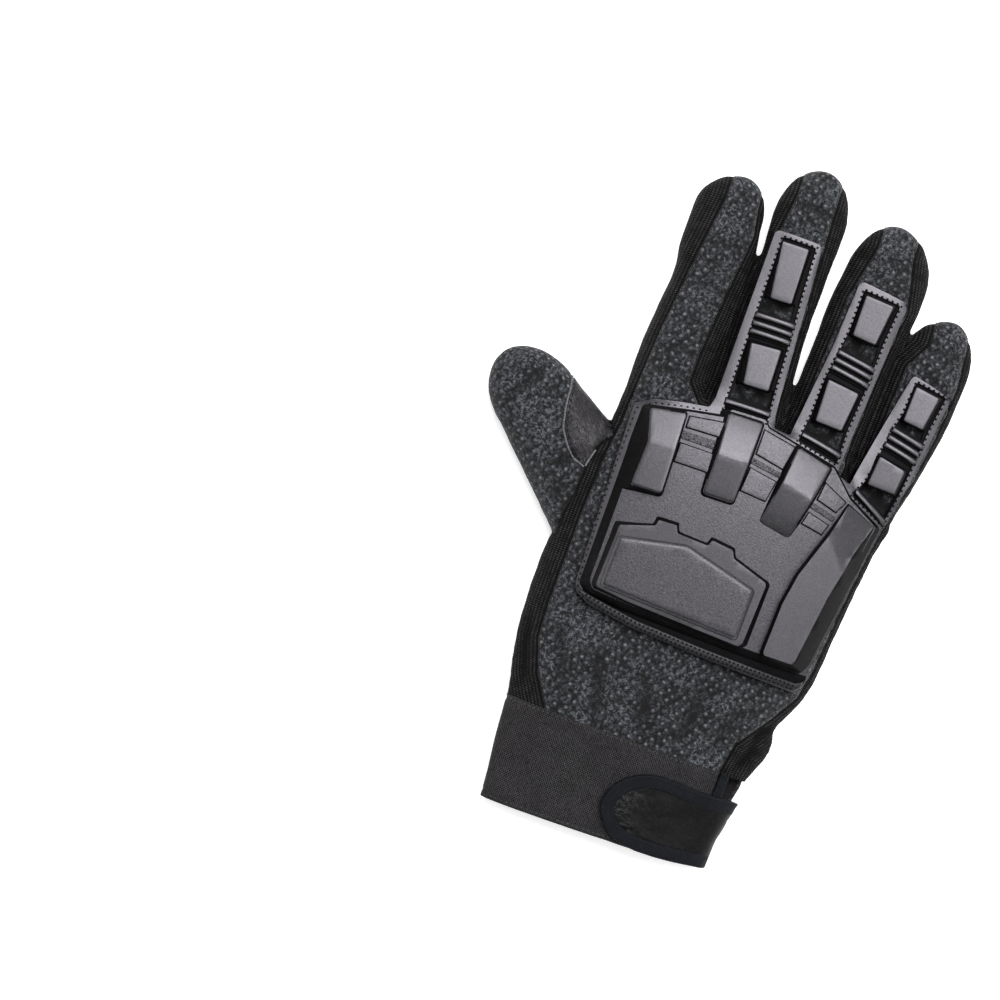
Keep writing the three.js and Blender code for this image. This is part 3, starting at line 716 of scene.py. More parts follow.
def add_piece(name, bm, materials, slot, replaced=None, smooth_angle=50):
    """A piece of the glove at the origin, smooth up to an angle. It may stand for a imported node."""
    piece = object_from(name, bm)
    mesh = piece.data
    for material in materials:
        mesh.materials.append(material)
    mesh.shade_smooth()
    mesh.set_sharp_from_angle(angle=math.radians(smooth_angle))
    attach(piece, ROOT_BODY)
    if replaced:
        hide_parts(replaced)
    print(name, "has", len(mesh.polygons), "faces")
    return piece


# %% A panel with its thickness
CLOTH_THICKNESS = 1.2


def give_thickness(piece, thickness):
    """Turns a skin into cloth of this thickness, inwards, and keeps it above the table."""
    thicken = piece.modifiers.new("thickness", "SOLIDIFY")
    thicken.thickness = thickness * MM
    thicken.offset = -1
    thick = bmesh.new()
    thick.from_object(piece, bpy.context.evaluated_depsgraph_get())
    for vertex in thick.verts:
        vertex.co.z = max(vertex.co.z, 0)
    thick.to_mesh(piece.data)
    thick.free()
    piece.modifiers.clear()


def panel_piece(bm, name, material, slot):
    """The faces of one panel as a piece, with their distance from the back panel kept as across."""
    index = PANELS.index(name)
    part = bm.copy()
    others = [f for f in part.faces if f.material_index != index]
    bmesh.ops.delete(part, geom=others, context="FACES")
    across = part.verts.layers.float.new("across")
    back = cad_surface(["back_panel"])[0]
    for vertex in part.verts:
        vertex[across] = back.find_nearest(vertex.co)[3]
    for face in part.faces:
        face.material_index = 0
    piece = add_piece(name + "_cloth", part, [material], slot, name)
    give_thickness(piece, CLOTH_THICKNESS)


# %% [markdown]
# The back is a brushed knit with raised tufts, the strips between the fingers are a rib knit and the
# palm is pebbled leather. Each of these materials is built from the pattern that its yarn makes, at
# its real spacing, and gets its roughness and its relief from the same pattern. A picture could do
# the same, but it would be of one place only.

# %% Steps that the cloths share
# A Mix node of the colour kind takes its share on input 0 and its colours on 6 and 7, and gives the
# result on output 2
RESULT = 2


def tone(tree, value, low, high, dark, light):
    """A colour that runs from the first to the second while the value runs from low to high."""
    share = add_node(tree, "MapRange", {"Value": value, "From Min": low, "From Max": high})
    return add_node(tree, "Mix", {0: share, 6: linear(dark), 7: linear(light)}, RESULT, data_type="RGBA")


def darkened(tree, colour, share, value, low, high, dark):
    """The colour, multiplied by this share of a tone that runs from dark to white with the value."""
    shade = tone(tree, value, low, high, dark, "ffffff")
    return add_node(tree, "Mix", {0: share, 6: colour, 7: shade}, RESULT, data_type="RGBA",
                    blend_type="MULTIPLY")


def shade_in_folds(tree, colour):
    """Painted shade where the surface lies in a fold or in a window under the guard, and darker along a
    seam.
    """
    fold = add_node(tree, "Attribute", output="Fac", attribute_name="fold")
    seam = add_node(tree, "Attribute", output="Fac", attribute_name="seam")
    # Painted shade: darker down in a fold and in the windows
    colour = darkened(tree, colour, 1.0, fold, -0.75, -0.05, "38383a")
    return darkened(tree, colour, 1.0, seam, 0.2 * MM, 1.0 * MM, "3c3c3e")


# %% [markdown]
# The palm is synthetic leather. Its maker embosses it with a roller, so it has pebbles with narrow
# dark furrows between them, and it is paler where a fold stands out. A Voronoi pattern gives
# the furrows as the distance to the edge of each cell, and a little noise bends its straight sides.

# %% Leather of the palm
def pebbled_leather(name, dark, light, ridge_colour):
    """Synthetic leather, embossed and satin: pebbles of 1.3 mm, paler where a fold stands out."""
    material, tree, shader = new_material(name, Roughness=0.46, IOR=1.5)
    place = add_node(tree, "TexCoord", output="Object")
    bent = add_node(tree, "TexNoise", {"Vector": place, "Scale": 1 / (3 * MM), "Detail": 2.0}, "Color")
    moved = add_node(tree, "VectorMath", {0: bent, 1: (1.4 * MM,) * 3, 2: place}, operation="MULTIPLY_ADD")
    cells = add_node(tree, "TexVoronoi", {"Vector": moved, "Scale": 1 / (1.3 * MM)},
                     feature="DISTANCE_TO_EDGE")
    pebbles = add_node(tree, "MapRange", {"Value": cells, "From Max": 0.2})
    pores = add_node(tree, "TexNoise",
                     {"Vector": place, "Scale": 1 / (0.45 * MM), "Detail": 3.0, "Roughness": 0.65})
    patches = add_node(tree, "TexNoise",
                       {"Vector": place, "Scale": 1 / (11 * MM), "Detail": 3.0, "Roughness": 0.6})
    colour = tone(tree, patches, 0.36, 0.64, dark, light)
    colour = darkened(tree, colour, 0.4, pores, 0.3, 0.62, "6a6a6c")
    colour = darkened(tree, colour, 0.55, pebbles, 0.0, 1.0, "202021")
    colour = shade_in_folds(tree, colour)
    fold = add_node(tree, "Attribute", output="Fac", attribute_name="fold")
    raised = add_node(tree, "MapRange", {"Value": fold, "From Min": 0.1, "From Max": 0.43, "To Max": 0.5})
    colour = add_node(tree, "Mix", {0: raised, 6: colour, 7: linear(ridge_colour)}, RESULT, data_type="RGBA")
    height = add_node(tree, "Math", {0: pores, 1: 0.3, 2: pebbles}, operation="MULTIPLY_ADD")
    bump = add_node(tree, "Bump", {"Height": height, "Distance": 0.12 * MM})
    matt = add_node(tree, "MapRange", {"Value": patches, "To Min": 0.4, "To Max": 0.54})
    set_inputs(tree, shader, {"Base Color": colour, "Normal": bump, "Roughness": matt})
    return material


palm_leather = pebbled_leather("synthetic_leather", "242325", "3a383b", "5c5a5e")
patch_leather = pebbled_leather("synthetic_leather_reinforcement", "2c2a2d", "454347", "6a686c")
print("Leathers of the palm:", palm_leather.name, "and", patch_leather.name)

# %% [markdown]
# The inset at the thumb and the strap are a thinner coated leather, whose film creases in fine lines
# that run one way. Noise that is drawn out along one direction has level lines that run so, and the
# places near its middle value are taken as the creases. The Mapping node has to be of the Texture
# kind, because a Point mapping would draw the pattern out before it turns it.

# %% Leather of the thumb inset and the strap
def creased_leather(name, dark, light, line, turn, size, depth, gloss):
    """Coated synthetic leather: satin, with thin creases a few mm apart that run one way.

    Where a strap bends the coating is pulled smooth, and the creases fade away from its round end.
    Only the strap has the attribute weft, so on the inset they don't fade. The creases are painted in
    the colour line: dark on the inset, as painted shade, and pale on the strap, as painted highlights
    on their ridges. Within 4 mm of a seam the leather is painted darker as shade; the strap has no
    seam attribute, so it is darker all over.
    """
    material, tree, shader = new_material(name, IOR=1.5, Specular_IOR_Level=gloss)
    place = add_node(tree, "TexCoord", output="Object")
    drawn_out = add_node(tree, "Mapping",
                         {"Vector": place, "Rotation": (0, 0, math.radians(turn)),
                          "Scale": (2.2, 1.0, 1.0)}, vector_type="TEXTURE")
    waves = add_node(tree, "TexNoise",
                     {"Vector": drawn_out, "Scale": 1 / (size * MM), "Detail": 2.0, "Roughness": 0.5,
                      "Distortion": 0.8})
    from_line = add_node(tree, "Math", {0: waves, 1: 0.5}, operation="SUBTRACT")
    from_line = add_node(tree, "Math", {0: from_line}, operation="ABSOLUTE")
    weft = add_node(tree, "Attribute", output="Fac", attribute_name="weft")
    shown = add_node(tree, "MapRange",
                     {"Value": weft, "From Min": 2 * MM, "From Max": 15 * MM, "To Min": 1.0, "To Max": 0.1})
    creases = add_node(tree, "MapRange",
                       {"Value": from_line, "From Max": 0.05, "To Min": 1.0, "To Max": 0.0})
    creases = add_node(tree, "Math", {0: creases, 1: shown}, operation="MULTIPLY")
    grain = add_node(tree, "TexNoise",
                     {"Vector": place, "Scale": 1 / (0.7 * MM), "Detail": 3.0, "Roughness": 0.65})
    seam = add_node(tree, "Attribute", output="Fac", attribute_name="seam")
    colour = tone(tree, waves, 0.34, 0.66, dark, light)
    # Painted shade and highlight: the creases take the colour line, dark on the inset and pale on the strap
    colour = add_node(tree, "Mix", {0: creases, 6: colour, 7: linear(line)}, RESULT, data_type="RGBA")
    colour = darkened(tree, colour, 0.5, grain, 0.36, 0.62, "505052")
    # Painted shade: darker within 4 mm of a seam, fading out towards the middle of the inset
    colour = darkened(tree, colour, 0.6, seam, 0.4 * MM, 4 * MM, "484849")
    height = add_node(tree, "Math", {0: waves, 1: 1.6}, operation="MULTIPLY")
    height = add_node(tree, "Math", {0: creases, 1: -1.0, 2: height}, operation="MULTIPLY_ADD")
    height = add_node(tree, "Math", {0: height, 1: shown}, operation="MULTIPLY")
    height = add_node(tree, "Math", {0: grain, 1: 0.4, 2: height}, operation="MULTIPLY_ADD")
    bump = add_node(tree, "Bump", {"Height": height, "Distance": depth * MM})
    matt = add_node(tree, "MapRange", {"Value": grain, "To Min": 0.38, "To Max": 0.54})
    set_inputs(tree, shader, {"Base Color": colour, "Normal": bump, "Roughness": matt})
    return material


# The crease lines of the inset are darker, as painted shade
inset_leather = creased_leather("coated_leather_inset", "141215", "312d33", "131114", -50, 1.2, 0.1, 0.26)
print("Leather of the inset:", inset_leather.name)

# %% [markdown]
# The back is a knit whose loops are pulled up into pale tufts and whose face is then brushed. Real
# tufts could be modelled as small meshes, but there are thousands, and they are soft and frayed. A
# Voronoi pattern in rows gives each one a centre, streaks of noise fray its rim, and a second Voronoi
# pattern, set off a little, paints a dark shadow beside each tuft.

# %% Fibres of a brushed cloth
FIBRE_WIDTH = 0.7


def brushed_fibre(tree, place, turns):
    """Hairs of a brushed cloth that lie in a few directions, from streaks of noise."""
    shown = None
    for turn in turns:
        drawn_out = add_node(tree, "Mapping",
                             {"Vector": place, "Rotation": (0, 0, math.radians(turn)),
                              "Scale": (2.6, 1.0, 1.0)}, vector_type="TEXTURE")
        streak = add_node(tree, "TexNoise",
                          {"Vector": drawn_out, "Scale": 1 / (FIBRE_WIDTH * MM), "Detail": 2.0,
                           "Roughness": 0.6})
        if shown is not None:
            streak = add_node(tree, "Math", {0: streak, 1: shown}, operation="MAXIMUM")
        shown = streak
    return shown


# %% Dotted knit of the back
TUFT_PITCH = 3.0
WOBBLE = 2.0
ROWS_TURN = 35
# How far the painted shadow beside each tuft is set off from it, in metres
TUFT_SHADOW_OFFSET = (0.75 * MM, 0.35 * MM, 0)


def dotted_knit():
    """Brushed polyester knit: soft pale tufts of 1 mm, 3 mm apart, on a fibrous ground.
    A dark shadow is painted beside each tuft.

    The fibres are 0.02 mm and are drawn as clumps of about a millimetre, so that they show. The tufts
    sit where they lie on the cloth rolled out flat, so they keep their shape over the edge of the hand.
    """
    material, tree, shader = new_material("dotted_knit", Roughness=0.9, Specular_IOR_Level=0.25,
                                          Sheen_Weight=0.1, Sheen_Roughness=0.5)
    place = add_node(tree, "TexCoord", output="Object")
    drift = add_node(tree, "TexNoise", {"Vector": place, "Scale": 1 / (7 * MM), "Detail": 1.0}, "Color")
    laid = add_node(tree, "Attribute", output="Vector", attribute_name="laid")
    moved = add_node(tree, "VectorMath", {0: drift, 1: (WOBBLE * MM,) * 3, 2: laid},
                     operation="MULTIPLY_ADD")
    turned = add_node(tree, "Mapping", {"Vector": moved, "Rotation": (0, 0, math.radians(ROWS_TURN))})
    # A copy of the tufts, set off a little, places the painted shadows
    beside = add_node(tree, "VectorMath", {0: turned, 1: TUFT_SHADOW_OFFSET})
    dots, painted_tuft_shadows = (
        add_node(tree, "TexVoronoi",
                 {"Vector": middle, "Scale": 1 / (TUFT_PITCH * MM), "Randomness": 0.24},
                 voronoi_dimensions="2D")
        for middle in (turned, beside)
    )
    chance = add_node(tree, "SeparateColor", {"Color": dots.node.outputs["Color"]})
    fibre = brushed_fibre(tree, place, (24, -38, 80))
    clump = add_node(tree, "TexNoise",
                     {"Vector": place, "Scale": 1 / (2.4 * MM), "Detail": 4.0, "Roughness": 0.7})
    worn = add_node(tree, "TexNoise",
                    {"Vector": place, "Scale": 1 / (12 * MM), "Detail": 3.0, "Roughness": 0.6})
    fold = add_node(tree, "Attribute", output="Fac", attribute_name="fold")
    frayed = add_node(tree, "Math", {0: fibre, 1: 0.55, 2: dots}, operation="MULTIPLY_ADD")
    tuft = add_node(tree, "MapRange",
                    {"Value": frayed, "From Min": 0.36, "From Max": 0.58, "To Min": 1.0, "To Max": 0.0})
    strong = add_node(tree, "MapRange", {"Value": chance, "From Min": 0.1, "From Max": 0.7, "To Min": 0.35})
    rubbed_off = add_node(tree, "MapRange",
                          {"Value": worn, "From Min": 0.46, "From Max": 0.64, "To Min": 1.0,
                           "To Max": 0.15})
    # The tufts fade out where the fold value is low: in deep creases and in the painted shade of the windows
    tufts_out_of_painted_shade = add_node(tree, "MapRange", {"Value": fold, "From Min": -0.5, "From Max": -0.25})
    share = tuft
    for part in (strong, rubbed_off, tufts_out_of_painted_shade):
        share = add_node(tree, "Math", {0: share, 1: part}, operation="MULTIPLY")
    ground = tone(tree, clump, 0.4, 0.6, "09090b", "3c3e43")
    nap = tone(tree, fibre, 0.46, 0.68, "1e1f22", "595c62")
    bald = add_node(tree, "MapRange", {"Value": worn, "From Min": 0.46, "From Max": 0.62, "To Max": 0.8})
    ground = add_node(tree, "Mix", {0: bald, 6: ground, 7: nap}, RESULT, data_type="RGBA")
    ground = darkened(tree, ground, 1.0, fibre, 0.5, 0.64, "303134")
    # Painted shadow: the ground is darkened beside each tuft
    ground = darkened(tree, ground, 0.8, painted_tuft_shadows, 0.12, 0.42, "18181a")
    pale = tone(tree, fibre, 0.48, 0.66, "3c3e42", "86898f")
    colour = add_node(tree, "Mix", {0: share, 6: ground, 7: pale}, RESULT, data_type="RGBA")
    height = add_node(tree, "Math", {0: clump, 1: 0.8, 2: share}, operation="MULTIPLY_ADD")
    height = add_node(tree, "Math", {0: fibre, 1: 0.4, 2: height}, operation="MULTIPLY_ADD")
    bump = add_node(tree, "Bump", {"Height": height, "Distance": 0.8 * MM})
    set_inputs(tree, shader, {"Base Color": shade_in_folds(tree, colour), "Normal": bump})
    return material


knit_back = dotted_knit()
print("Knit of the back:", knit_back.name)

# %% [markdown]
# The strips along the fingers are a rib knit: upright ribs of stitches with a furrow between them,
# crossed by the finer rows of loops. Two waves, one across the strip and one along the hand, are
# multiplied to give the loops. The distance from the back panel, which each vertex carries, is the
# first wave's coordinate, so the ribs follow the strip round the fingertips.

# %% Rib knit of the side strips
RIB_PITCH = 1.2
LOOP_PITCH = 0.8


def wave(tree, coordinate, pitch):
    """Runs from -1 to 1 and back for every pitch, in millimetres, along this coordinate."""
    turns = add_node(tree, "Math", {0: coordinate, 1: 2 * math.pi / (pitch * MM)}, operation="MULTIPLY")
    return add_node(tree, "Math", {0: turns}, operation="SINE")


def ribbed_knit():
    """Rib knit of nylon and elastane: matt, ribs 1.2 mm apart along the strip, rows of 0.8 mm."""
    material, tree, shader = new_material("ribbed_knit", Roughness=0.85, Specular_IOR_Level=0.12)
    place = add_node(tree, "TexCoord", output="Object")
    across = add_node(tree, "Attribute", output="Fac", attribute_name="across")
    rib = add_node(tree, "MapRange", {"Value": wave(tree, across, RIB_PITCH), "From Min": -1.0,
                                      "To Min": 0.25, "To Max": 1.25})
    along = add_node(tree, "SeparateXYZ", {"Vector": place}, "Y")
    rows = add_node(tree, "MapRange", {"Value": wave(tree, along, LOOP_PITCH), "From Min": -1.0,
                                       "To Min": 0.35, "To Max": 1.35})
    loops = add_node(tree, "Math", {0: rib, 1: rows}, operation="MULTIPLY")
    uneven = add_node(tree, "TexNoise",
                      {"Vector": place, "Scale": 1 / (3.2 * MM), "Detail": 3.0, "Roughness": 0.65})
    yarn = add_node(tree, "TexNoise",
                    {"Vector": place, "Scale": 1 / (0.45 * MM), "Detail": 3.0, "Roughness": 0.7})
    colour = tone(tree, loops, 0.35, 1.1, "020202", "3c3a3b")
    colour = darkened(tree, colour, 0.7, uneven, 0.36, 0.62, "4c4b4c")
    colour = darkened(tree, colour, 0.7, yarn, 0.36, 0.6, "5a5a5a")
    height = add_node(tree, "Math", {0: yarn, 1: 0.4, 2: loops}, operation="MULTIPLY_ADD")
    bump = add_node(tree, "Bump", {"Height": height, "Distance": 0.35 * MM})
    set_inputs(tree, shader, {"Base Color": shade_in_folds(tree, colour), "Normal": bump})
    return material


knit_strip = ribbed_knit()
print("Materials so far:", len(bpy.data.materials))

# %% Panels as pieces
# The cloth and the record's material slot of each panel, palm first. All the strips are rib knit.
STRIPS = PANELS[PANELS.index("index_side_gusset"):]
CLOTHS = {
    "palm_leather": (palm_leather, "palm_leather"),
    "palm_patch": (patch_leather, "patch_leather"),
    "back_panel": (knit_back, "dotted_knit"),
    "thumb_back": (knit_back, "dotted_knit"),
    "thumb_gusset": (inset_leather, "palm_leather"),
}
for panel in PANELS:
    cloth, slot = CLOTHS.get(panel, (knit_strip, "ribbed_knit"))
    panel_piece(soft, panel, cloth, slot)


# %% [markdown]
# The knuckle guard is one moulding of black thermoplastic rubber. It is made here from flat pieces:
# an outline is filled, extruded up and beveled, and its top may have an outline of its own, which
# gives the sloped walls. The flat pieces are then cut into a fine grid and bent over the hand. To
# bend them, the height of the hand under each place has to be known, so it is measured first.

# %% Height of the cloth under the guard
SEAT_FROM = (-62, -48)
SEAT_TO = (70, 126)
SEAT_VOXEL = 1.2
SEAT_ROUNDS = 8
# The height where the ray that looks down for the cloth starts, and the height where it finds none
RAY_FROM = 100
NO_CLOTH = 9.0


def seat_heights():
    """Heights of the soft form without its folds, on a grid of 1 mm."""
    form = melted_form(GUARD_SEAT, SEAT_VOXEL, SEAT_ROUNDS)
    tree = BVHTree.FromBMesh(form)
    form.free()
    heights = np.full((SEAT_TO[0] - SEAT_FROM[0] + 1, SEAT_TO[1] - SEAT_FROM[1] + 1), NO_CLOTH)
    for i in range(heights.shape[0]):
        for j in range(heights.shape[1]):
            start = Vector((SEAT_FROM[0] + i, SEAT_FROM[1] + j, RAY_FROM)) * MM
            hit = tree.ray_cast(start, Vector((0, 0, -1)))[0]
            if hit is not None:
                heights[i, j] = hit.z / MM
    return heights


cloth_grid = seat_heights()
print("Height of the cloth:", round(cloth_grid.min(), 1), "to", round(cloth_grid.max(), 1), "mm")

# %% Seat of the stiff moulding
# The seat lies at most SEAT_DROOP below the highest cloth within SEAT_SPAN millimetres to its sides
SEAT_SPAN = 5
SEAT_DROOP = 1.2
SEAT_BLUR = 3


def stiffened(heights):
    """The moulding is too stiff to follow the sides of the fingers down, so its seat droops less."""
    crest = heights.copy()
    for _ in range(SEAT_SPAN):
        wide = np.pad(crest, ((1, 1), (0, 0)), mode="edge")
        crest = np.maximum(crest, np.maximum(wide[:-2], wide[2:]))
    heights = np.maximum(heights, crest - SEAT_DROOP)
    for _ in range(SEAT_BLUR):
        wide = np.pad(heights, 1, mode="edge")
        heights = (wide[:-2, 1:-1] + wide[2:, 1:-1] + wide[1:-1, :-2] + wide[1:-1, 2:]
                   + 2 * heights) / 6
    return heights


seat_grid = stiffened(cloth_grid)


def seat_at(x, y, grid=seat_grid):
    """Height of the seat at this place in millimetres, between the four nearest points of the grid."""
    i = min(max(x - SEAT_FROM[0], 0), grid.shape[0] - 1.001)
    j = min(max(y - SEAT_FROM[1], 0), grid.shape[1] - 1.001)
    u, v = i % 1, j % 1
    i, j = int(i), int(j)
    near = grid[i, j] * (1 - u) + grid[i + 1, j] * u
    far = grid[i, j + 1] * (1 - u) + grid[i + 1, j + 1] * u
    return near * (1 - v) + far * v


print("Height of the hand at its middle:", round(seat_at(0, 0), 1), "mm")

# %% [markdown]
# The outlines of the guard's parts were read off the photograph in millimetres. Each part runs from a
# foot to a top, in millimetres over the seat: the flange is thin, the field stands on it, and the
# blocks stand on the field. The tops of the blocks are smaller than their feet, and the four over
# the knuckles are folded along a ridge, so that one facet faces the window light.

# %% Recesses in the finger strips, and the field
RECESSES = [
    [(-16.8, 115.6), (-4.4, 115.6), (-3.4, 97), (-2.4, 86), (-1.2, 64), (-0.2, 51), (-16.2, 51)],
    [(16.6, 107.6), (30.6, 106.6), (29.4, 92), (29.2, 84), (28.8, 73), (27.6, 59), (27.9, 46),
     (12.2, 49), (13.6, 59), (14, 74), (15.4, 84), (16.4, 92)],
    [(45.2, 83.4), (57, 81.6), (55, 69), (54.6, 64), (53.6, 54), (52.6, 44), (50.8, 31.6),
     (36.8, 37.6), (40, 45), (41.4, 56), (42.6, 64), (44.4, 72)],
]
FIELD = {
    "base": [
        (-43.8, 41.8), (-41.6, 43.8), (-26.8, 46.9), (-16.4, 48.9), (-15.4, 52), (-0.2, 52.8),
        (1, 50.6), (11.4, 48.6), (27.9, 45.4), (36.6, 37.2), (50.6, 30.6), (49, 14), (46.6, 1),
        (43.4, -25), (40.6, -29.2), (22, -29.4), (-24.9, -28.6), (-39.6, -27.6), (-43.6, -24.2),
    ],
    "top": [
        (-40.2, 41.4), (-39.2, 42.8), (-26.4, 45.8), (-15.2, 47.8), (-13.6, 51.4), (-1, 52),
        (0.4, 49.6), (11, 47.5), (27.3, 44.2), (36, 36), (48.4, 29.8), (45.5, 14), (43.5, 1),
        (40.2, -24.2), (38.2, -25.6), (22, -25.6), (-24.9, -25), (-38, -24.2), (-40, -21.6),
    ],
}
print("Corners of the field:", len(FIELD["base"]))

# %% Blocks of the guard
# Each block: its level, how flat it stays, and the outlines at its foot and top. A ridge is a fold
# in the top, with how steeply the top falls away on its two sides. edge is the width of its bevel,
# and faces steeper than steep get the matt finish, painted almost black as shade. The last two are
# the rim and the plate inside it.
SATIN, GRAINED, MATT_SHADE, MESH, ROLLED = range(5)
BLOCKS = [
    {
        "level": 8.4, "stiff": 0.7, "ridge": ((-37, 31.4), (-27, 31.8), 0.2, 0.03),
        "base": [(-43.2, 43.2), (-27, 46.3), (-26, 13.6), (-42.6, 10.9), (-43.4, 30)],
        "top": [(-40.7, 42.9), (-27.6, 45.5), (-26.6, 15), (-38, 14.6), (-37.4, 31)],
    },
    {
        "level": 8.6, "stiff": 0.8, "ridge": ((-13, 35.2), (-2, 35.8), 0.23, 0.18),
        "base": [(-17, 51), (-0.2, 51.8), (-1.4, 18.5), (-15, 18.2)],
        "top": [(-13.6, 50.8), (-1, 51.2), (-2.1, 20.6), (-13.3, 20.3)],
    },
    {
        "level": 8.6, "stiff": 0.8, "ridge": ((12.6, 33.4), (23, 31.2), 0.19, 0.27),
        "base": [(10.2, 48.7), (27.8, 44.8), (20.8, 13.8), (7.4, 15.6)],
        "top": [(13.6, 47.6), (26.7, 44.6), (20.4, 15.7), (8.9, 17.3)],
    },
    {
        "level": 8.2, "stiff": 0.75, "ridge": ((33, 20), (44, 8), 0.22, 0.02),
        "base": [
            (35.5, 35.4), (50.4, 30.2), (48.6, 18), (46.4, 1), (43.2, -23.6), (41.5, -27.2),
            (25, -27.6), (23.9, -26), (24.4, -6), (26.2, 5), (29, 14), (32, 22.6),
        ],
        "top": [
            (36.9, 34.1), (48.4, 30), (44.3, 18), (40.9, 1), (37.9, -23.4), (37.2, -25.4),
            (26.5, -25.6), (25.9, -24.6), (26.3, -6.3), (28.1, 5.1), (30.9, 13.7), (33.8, 22.3),
        ],
    },
    {
        "level": 6.3, "stiff": 0.45, "corner": 0.8,
        "base": [
            (-39.9, 1.6), (-27, 4.8), (-26.3, 8.7), (-17, 9.1), (-15.9, 5.9), (-6.6, 5.5), (-5.9, 8.4),
            (4.4, 7.3), (5.5, 4.1), (19.4, -0.2), (20.9, -1.3), (21, -24.9), (17.4, -27.4),
            (-24.9, -26), (-38.6, -25), (-40.4, -22.7),
        ],
        "top": [
            (-36.6, 0.1), (-24.7, 4.1), (-24.4, 6.3), (-17.8, 6.7), (-16.7, 4.1), (-5.2, 3.7),
            (-4.4, 6), (3.5, 5.2), (4.9, 2.5), (18, -1.6), (18.7, -2.4), (18, -24.4), (16.8, -25.8),
            (-24.9, -24.2), (-36.8, -23), (-37.3, -22),
        ],
    },
    {
        "level": 7.7, "stiff": 0.45, "steep": 0.1, "edge": 1.4, "finish": GRAINED,
        "base": [(-36.8, -2.2), (-12, 3), (17, -4.3), (16.6, -25.2), (-37, -23)],
        "top": [(-35.6, -3.8), (-12, 1.2), (15.2, -5.6), (15.1, -24.2), (-35.8, -22.2)],
    },
]
print("Blocks:", len(BLOCKS))

# %% Blocks, pads and bars of the finger strips
# The corners nudged to fit the photograph: the far two, then the near two
TOP_NUDGE = ((-1.0, -0.3), (-0.9, -0.3), (-0.7, -1.3), (-0.8, -1.3))
FOOT_NUDGE = ((-0.3, 0), (-0.5, 0), (-0.5, -1.3), (-0.3, -1.3))
# Each finger block: the outlines at its foot and top
FINGER_BLOCKS = [
    ([(-16.6, 115.4), (-4.8, 115.4), (-4.4, 94.6), (-16.2, 94.6)],
     [(-15.7, 114.6), (-5.6, 114.7), (-5.1, 95.1), (-12.9, 94.9)]),
    ([(-16, 77.6), (-2, 78.4), (-1.7, 62.8), (-15.6, 62.4)],
     [(-13.9, 76.8), (-2.8, 77.7), (-2.5, 63.2), (-11.7, 62.8)]),
    ([(16.8, 107.4), (30.4, 106.6), (28.5, 91.2), (17, 91.9)],
     [(18.8, 106.6), (29.5, 106), (27.7, 91.7), (18.9, 92.4)]),
    ([(14.2, 74.6), (28.9, 73), (27.2, 58.4), (14.4, 58.9)],
     [(16.2, 74), (28.1, 72.6), (26.5, 58.9), (16.6, 59.2)]),
    ([(45, 83.1), (56.8, 81.4), (54.6, 68.8), (44.4, 69.8)],
     [(46.6, 82.4), (55.8, 81), (53.6, 69.3), (46.1, 70.2)]),
    ([(40.6, 55.2), (53.6, 53), (52.4, 43.8), (39.9, 44.2)],
     [(42.6, 54.7), (52.7, 52.5), (51.7, 44.3), (41.6, 44.6)]),
]
PADS = [
    [(-27.4, 39.3), (-13.6, 39.9), (-13.6, 47), (-27.4, 44.8)],
    [(-27.4, 26.6), (-13.6, 26.8), (-13.6, 35), (-27.4, 34.9)],
    [(-1.4, 38.9), (10.4, 36.7), (12.4, 47), (-1.2, 49.4)],
    [(-2.4, 24.9), (8.4, 24.2), (10, 33.3), (-1.6, 35.1)],
    [(24.1, 31.3), (33, 29), (36, 34.7), (25.3, 39.5)],
    [(21.6, 21.5), (31, 20), (32.6, 25.3), (23.1, 27.5)],
]
# The bands of fine mesh between the pads
MESH_BANDS = [
    [(-27.4, 35.8), (-13.6, 35.8), (-13.6, 39), (-27.4, 38.5)],
    [(-1.6, 35.8), (10, 34.2), (10.6, 35.9), (-1.5, 38)],
    [(23.4, 28.3), (32.8, 26.3), (33.2, 28.1), (24, 30.4)],
]
# Bars across the finger strips, each from its left end to its right end
BARS = [
    ((-17, 86.3), (-2.2, 86.6)), ((-17, 83.3), (-2, 83.6)), ((-17, 80.3), (-1.8, 80.6)),
    ((-16.8, 53.8), (0, 54.3)),
    ((15, 83.8), (29.6, 81.6)), ((14.8, 80.9), (29.6, 78.7)), ((14.6, 78), (29.4, 75.7)),
    ((12.6, 52), (28.4, 49)),
    ((42, 64.8), (55, 62)), ((41.8, 61.8), (54.8, 59)), ((41.4, 58.9), (54.4, 56.1)),
    ((37.2, 39.8), (51.6, 32.2)),
]
# The near edge of the flange is folded over into a hem
ROLLED_HEM = [
    (-43.2, -25.4), (-37.4, -26.6), (-20, -29.2), (5, -30.4), (40.8, -31.2), (43.4, -29.6),
    (43.6, -32.3), (40.9, -34.7), (5, -33.9), (-20, -32.6), (-37.6, -29.9), (-42.6, -27.3),
]
print("Finger blocks:", len(FINGER_BLOCKS), "and bars:", len(BARS))

# %% [markdown]
# The bmesh operators make each part as if cut from sheet. Edges are drawn and filled into a flat
# face, the face is extruded, and its rim is beveled. A bevel from code has to be told its segments,
# its profile and that it bevels edges, because it doesn't take the editor's defaults.

# %% Fill, extrude and bevel
# Edges that turn by more degrees than this are corners, and this much of the height makes one upright
CORNER_ANGLE = 24
UPRIGHT = 0.9
CORNER_SEGMENTS = 5


